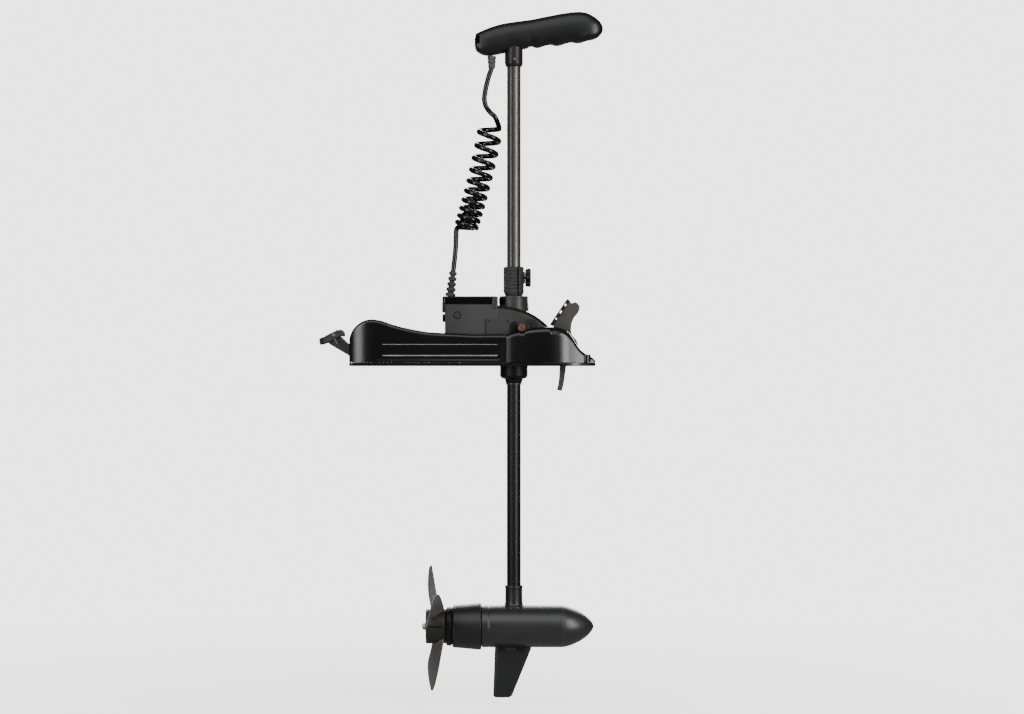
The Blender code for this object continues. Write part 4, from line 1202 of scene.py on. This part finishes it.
def propeller():
    rear = box("propeller")[0].x
    hub = [(38, rear), (38, 52.4), (5.3, 52.4), (5.3, rear + 6), (31, rear + 6), (31, rear)]
    made = turned("propeller_bladed", rounded(hub, 1.4), MOTOR_LINE, "x", 96, True)
    # Notches in the hub, between the blades
    for root in ROOTS:
        slot = block("slot", (-16, 30, -1.6), (16, 45, 1.6), 0)
        turn = Matrix.Rotation(math.pi / 2 - math.radians(root + 62), 4, "X")
        slot.data.transform(Matrix.Translation((28 * MM, 0, MOTOR_Z * MM)) @ turn)
        cut(made, slot)
    for i, root in enumerate(ROOTS):
        join(made, blade(i + 1, root))
    finish(made, PROP, "rotor", ("propeller",), sharp=50)
    repaint(made, HUB, lambda place, _: math.hypot(place.y, place.z - MOTOR_Z) < 38.6)
    flange = [(38.6, 52.6), (38.6, 54), (42.6, 55.4), (43.2, 65.8), (5.5, 65.8), (5.5, 52.6)]
    made = turned("propeller_flange", rounded(flange, 1), MOTOR_LINE, "x", 96, True)
    finish(made, DARK, "rotor")
    washer = rounded(band(8.4, 14.5, rear + 0.2, rear + 5.8), 0.6)
    finish(turned("propeller_washer", washer, MOTOR_LINE, "x", 48, True), STEEL_DARK, "rotor")
    low, high = box("propeller_nut")
    made = prism("propeller_nut_hex", [circle(0, MOTOR_Z, 8.6, 6)], low.x + 2.2, high.x, "x", 0.8)
    dome = [(0, low.x), (3.6, low.x + 0.5), (6, low.x + 2), (6.4, low.x + 4), (0, low.x + 4)]
    join(made, turned("dome", dome, MOTOR_LINE, "x", 40))
    finish(made, BRASS, "rotor", ("propeller_nut",), sharp=35)


# ---------------------------------------------------------------- the CAD nodes that stay

KEPT = {
    "pedal_bracket": GLOSS, "pedal_pin": STEEL, "tilt_pin": STEEL, "pull_rod": STEEL_DARK, "latch_hook": DARK,
    "tilt_bush": BRASS, "steering_motor": STEEL, "control_board": BOARD, "sleeve_bearing_lower": STEEL,
    "sleeve_bearing_upper": STEEL, "steering_sleeve": STEEL, "steering_gear": STEEL,
    "steering_pinion": BRASS, "field_magnets": STEEL_DARK, "rear_bearing": STEEL, "front_bush": BRASS,
    "rotor_shaft": STEEL, "armature": COPPER,
}


def kept_nodes():
    for name, material in KEPT.items():
        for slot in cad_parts[name].material_slots:
            slot.material = material


# ---------------------------------------------------------------- floor and light

# The surround's strength where the camera sees it, and as a light on the object
WHITE, SURROUND = 3.2, 0.11
FLOOR_DROP = 0.02
# Name, place and aim in metres, size and power
LAMPS = (
    ("key", (-0.2, -2.7, 3.0), (0.15, 0, 0), (4.2, 3.0), 76),
    ("left_box", (-1.7, -2.3, 0.4), (0.1, 0, 0.1), (0.8, 2.4), 38),
    ("right_box", (2.2, -2.1, 0.5), (0.2, 0, 0.1), (0.8, 2.4), 64),
    ("back_left", (-0.7, 3.2, 0.9), (0.1, 0, 0), (1.6, 2.2), 95),
    ("back_right", (1.1, 3.2, 0.9), (0.1, 0, 0), (1.6, 2.2), 95),
)


def lamp(name, place, aim, size, power):
    """A soft box that the camera doesn't see."""
    data = bpy.data.lights.new(name, "AREA")
    data.shape = "RECTANGLE"
    data.size, data.size_y = size
    data.energy = power
    made = bpy.data.objects.new(name, data)
    made.location = place
    made.rotation_euler = (Vector(aim) - Vector(place)).to_track_quat("-Z", "Y").to_euler()
    made.visible_camera = False
    bpy.context.scene.collection.objects.link(made)


def seen_or_lit(graph):
    """The surround's strength: bright where it is seen, dim as a light on the object."""
    return graph.spread(graph.node("LightPath").outputs["Is Camera Ray"], SURROUND, WHITE, 0, 1)


def floor():
    """A white floor that fades into the surround with distance."""
    bm = bmesh.new()
    bmesh.ops.create_circle(bm, cap_ends=True, segments=96, radius=60)
    made = from_bmesh(bm, "floor")
    made.location.z = skeg_low.z * MM - FLOOR_DROP
    material = bpy.data.materials.new("pale_floor")
    material.use_nodes = True
    graph = Graph(material.node_tree)
    shader = graph.nodes["Principled BSDF"]
    colour = graph.mixed(graph.noise(40, 3), (0.88, 0.88, 0.88), (0.92, 0.92, 0.92))
    for name, value in (("Base Color", colour), ("Roughness", 0.9), ("Specular IOR Level", 0.1)):
        graph.feed(shader.inputs[name], value)
    distance = graph.node("VectorMath")
    distance.operation = "LENGTH"
    graph.feed(distance.inputs[0], graph.place())
    far = graph.spread(distance.outputs["Value"], 0.7, 1, 0.3, 2)
    glow = graph.node("Emission", Strength=seen_or_lit(graph))
    blend = graph.node("MixShader")
    for socket, value in zip(blend.inputs, (far, shader.outputs[0], glow.outputs[0])):
        graph.feed(socket, value)
    graph.feed(graph.nodes["Material Output"].inputs["Surface"], blend.outputs[0])
    made.data.materials.append(material)


def studio():
    floor()
    world = bpy.data.worlds.new("studio")
    world.use_nodes = True
    graph = Graph(world.node_tree)
    surround = graph.nodes["Background"]
    graph.feed(surround.inputs["Color"], (1, 1, 1, 1))
    graph.feed(surround.inputs["Strength"], seen_or_lit(graph))
    bpy.context.scene.world = world
    for row in LAMPS:
        lamp(*row)


camera()
cords()
base()
pedal()
guides()
gearbox()
steering()
shaft()
head()
head_screw()
head_gland()
depth_clamp()
clamp_knob()
motor()
neck()
skeg()
propeller()
kept_nodes()
studio()

bpy.context.view_layer.update()
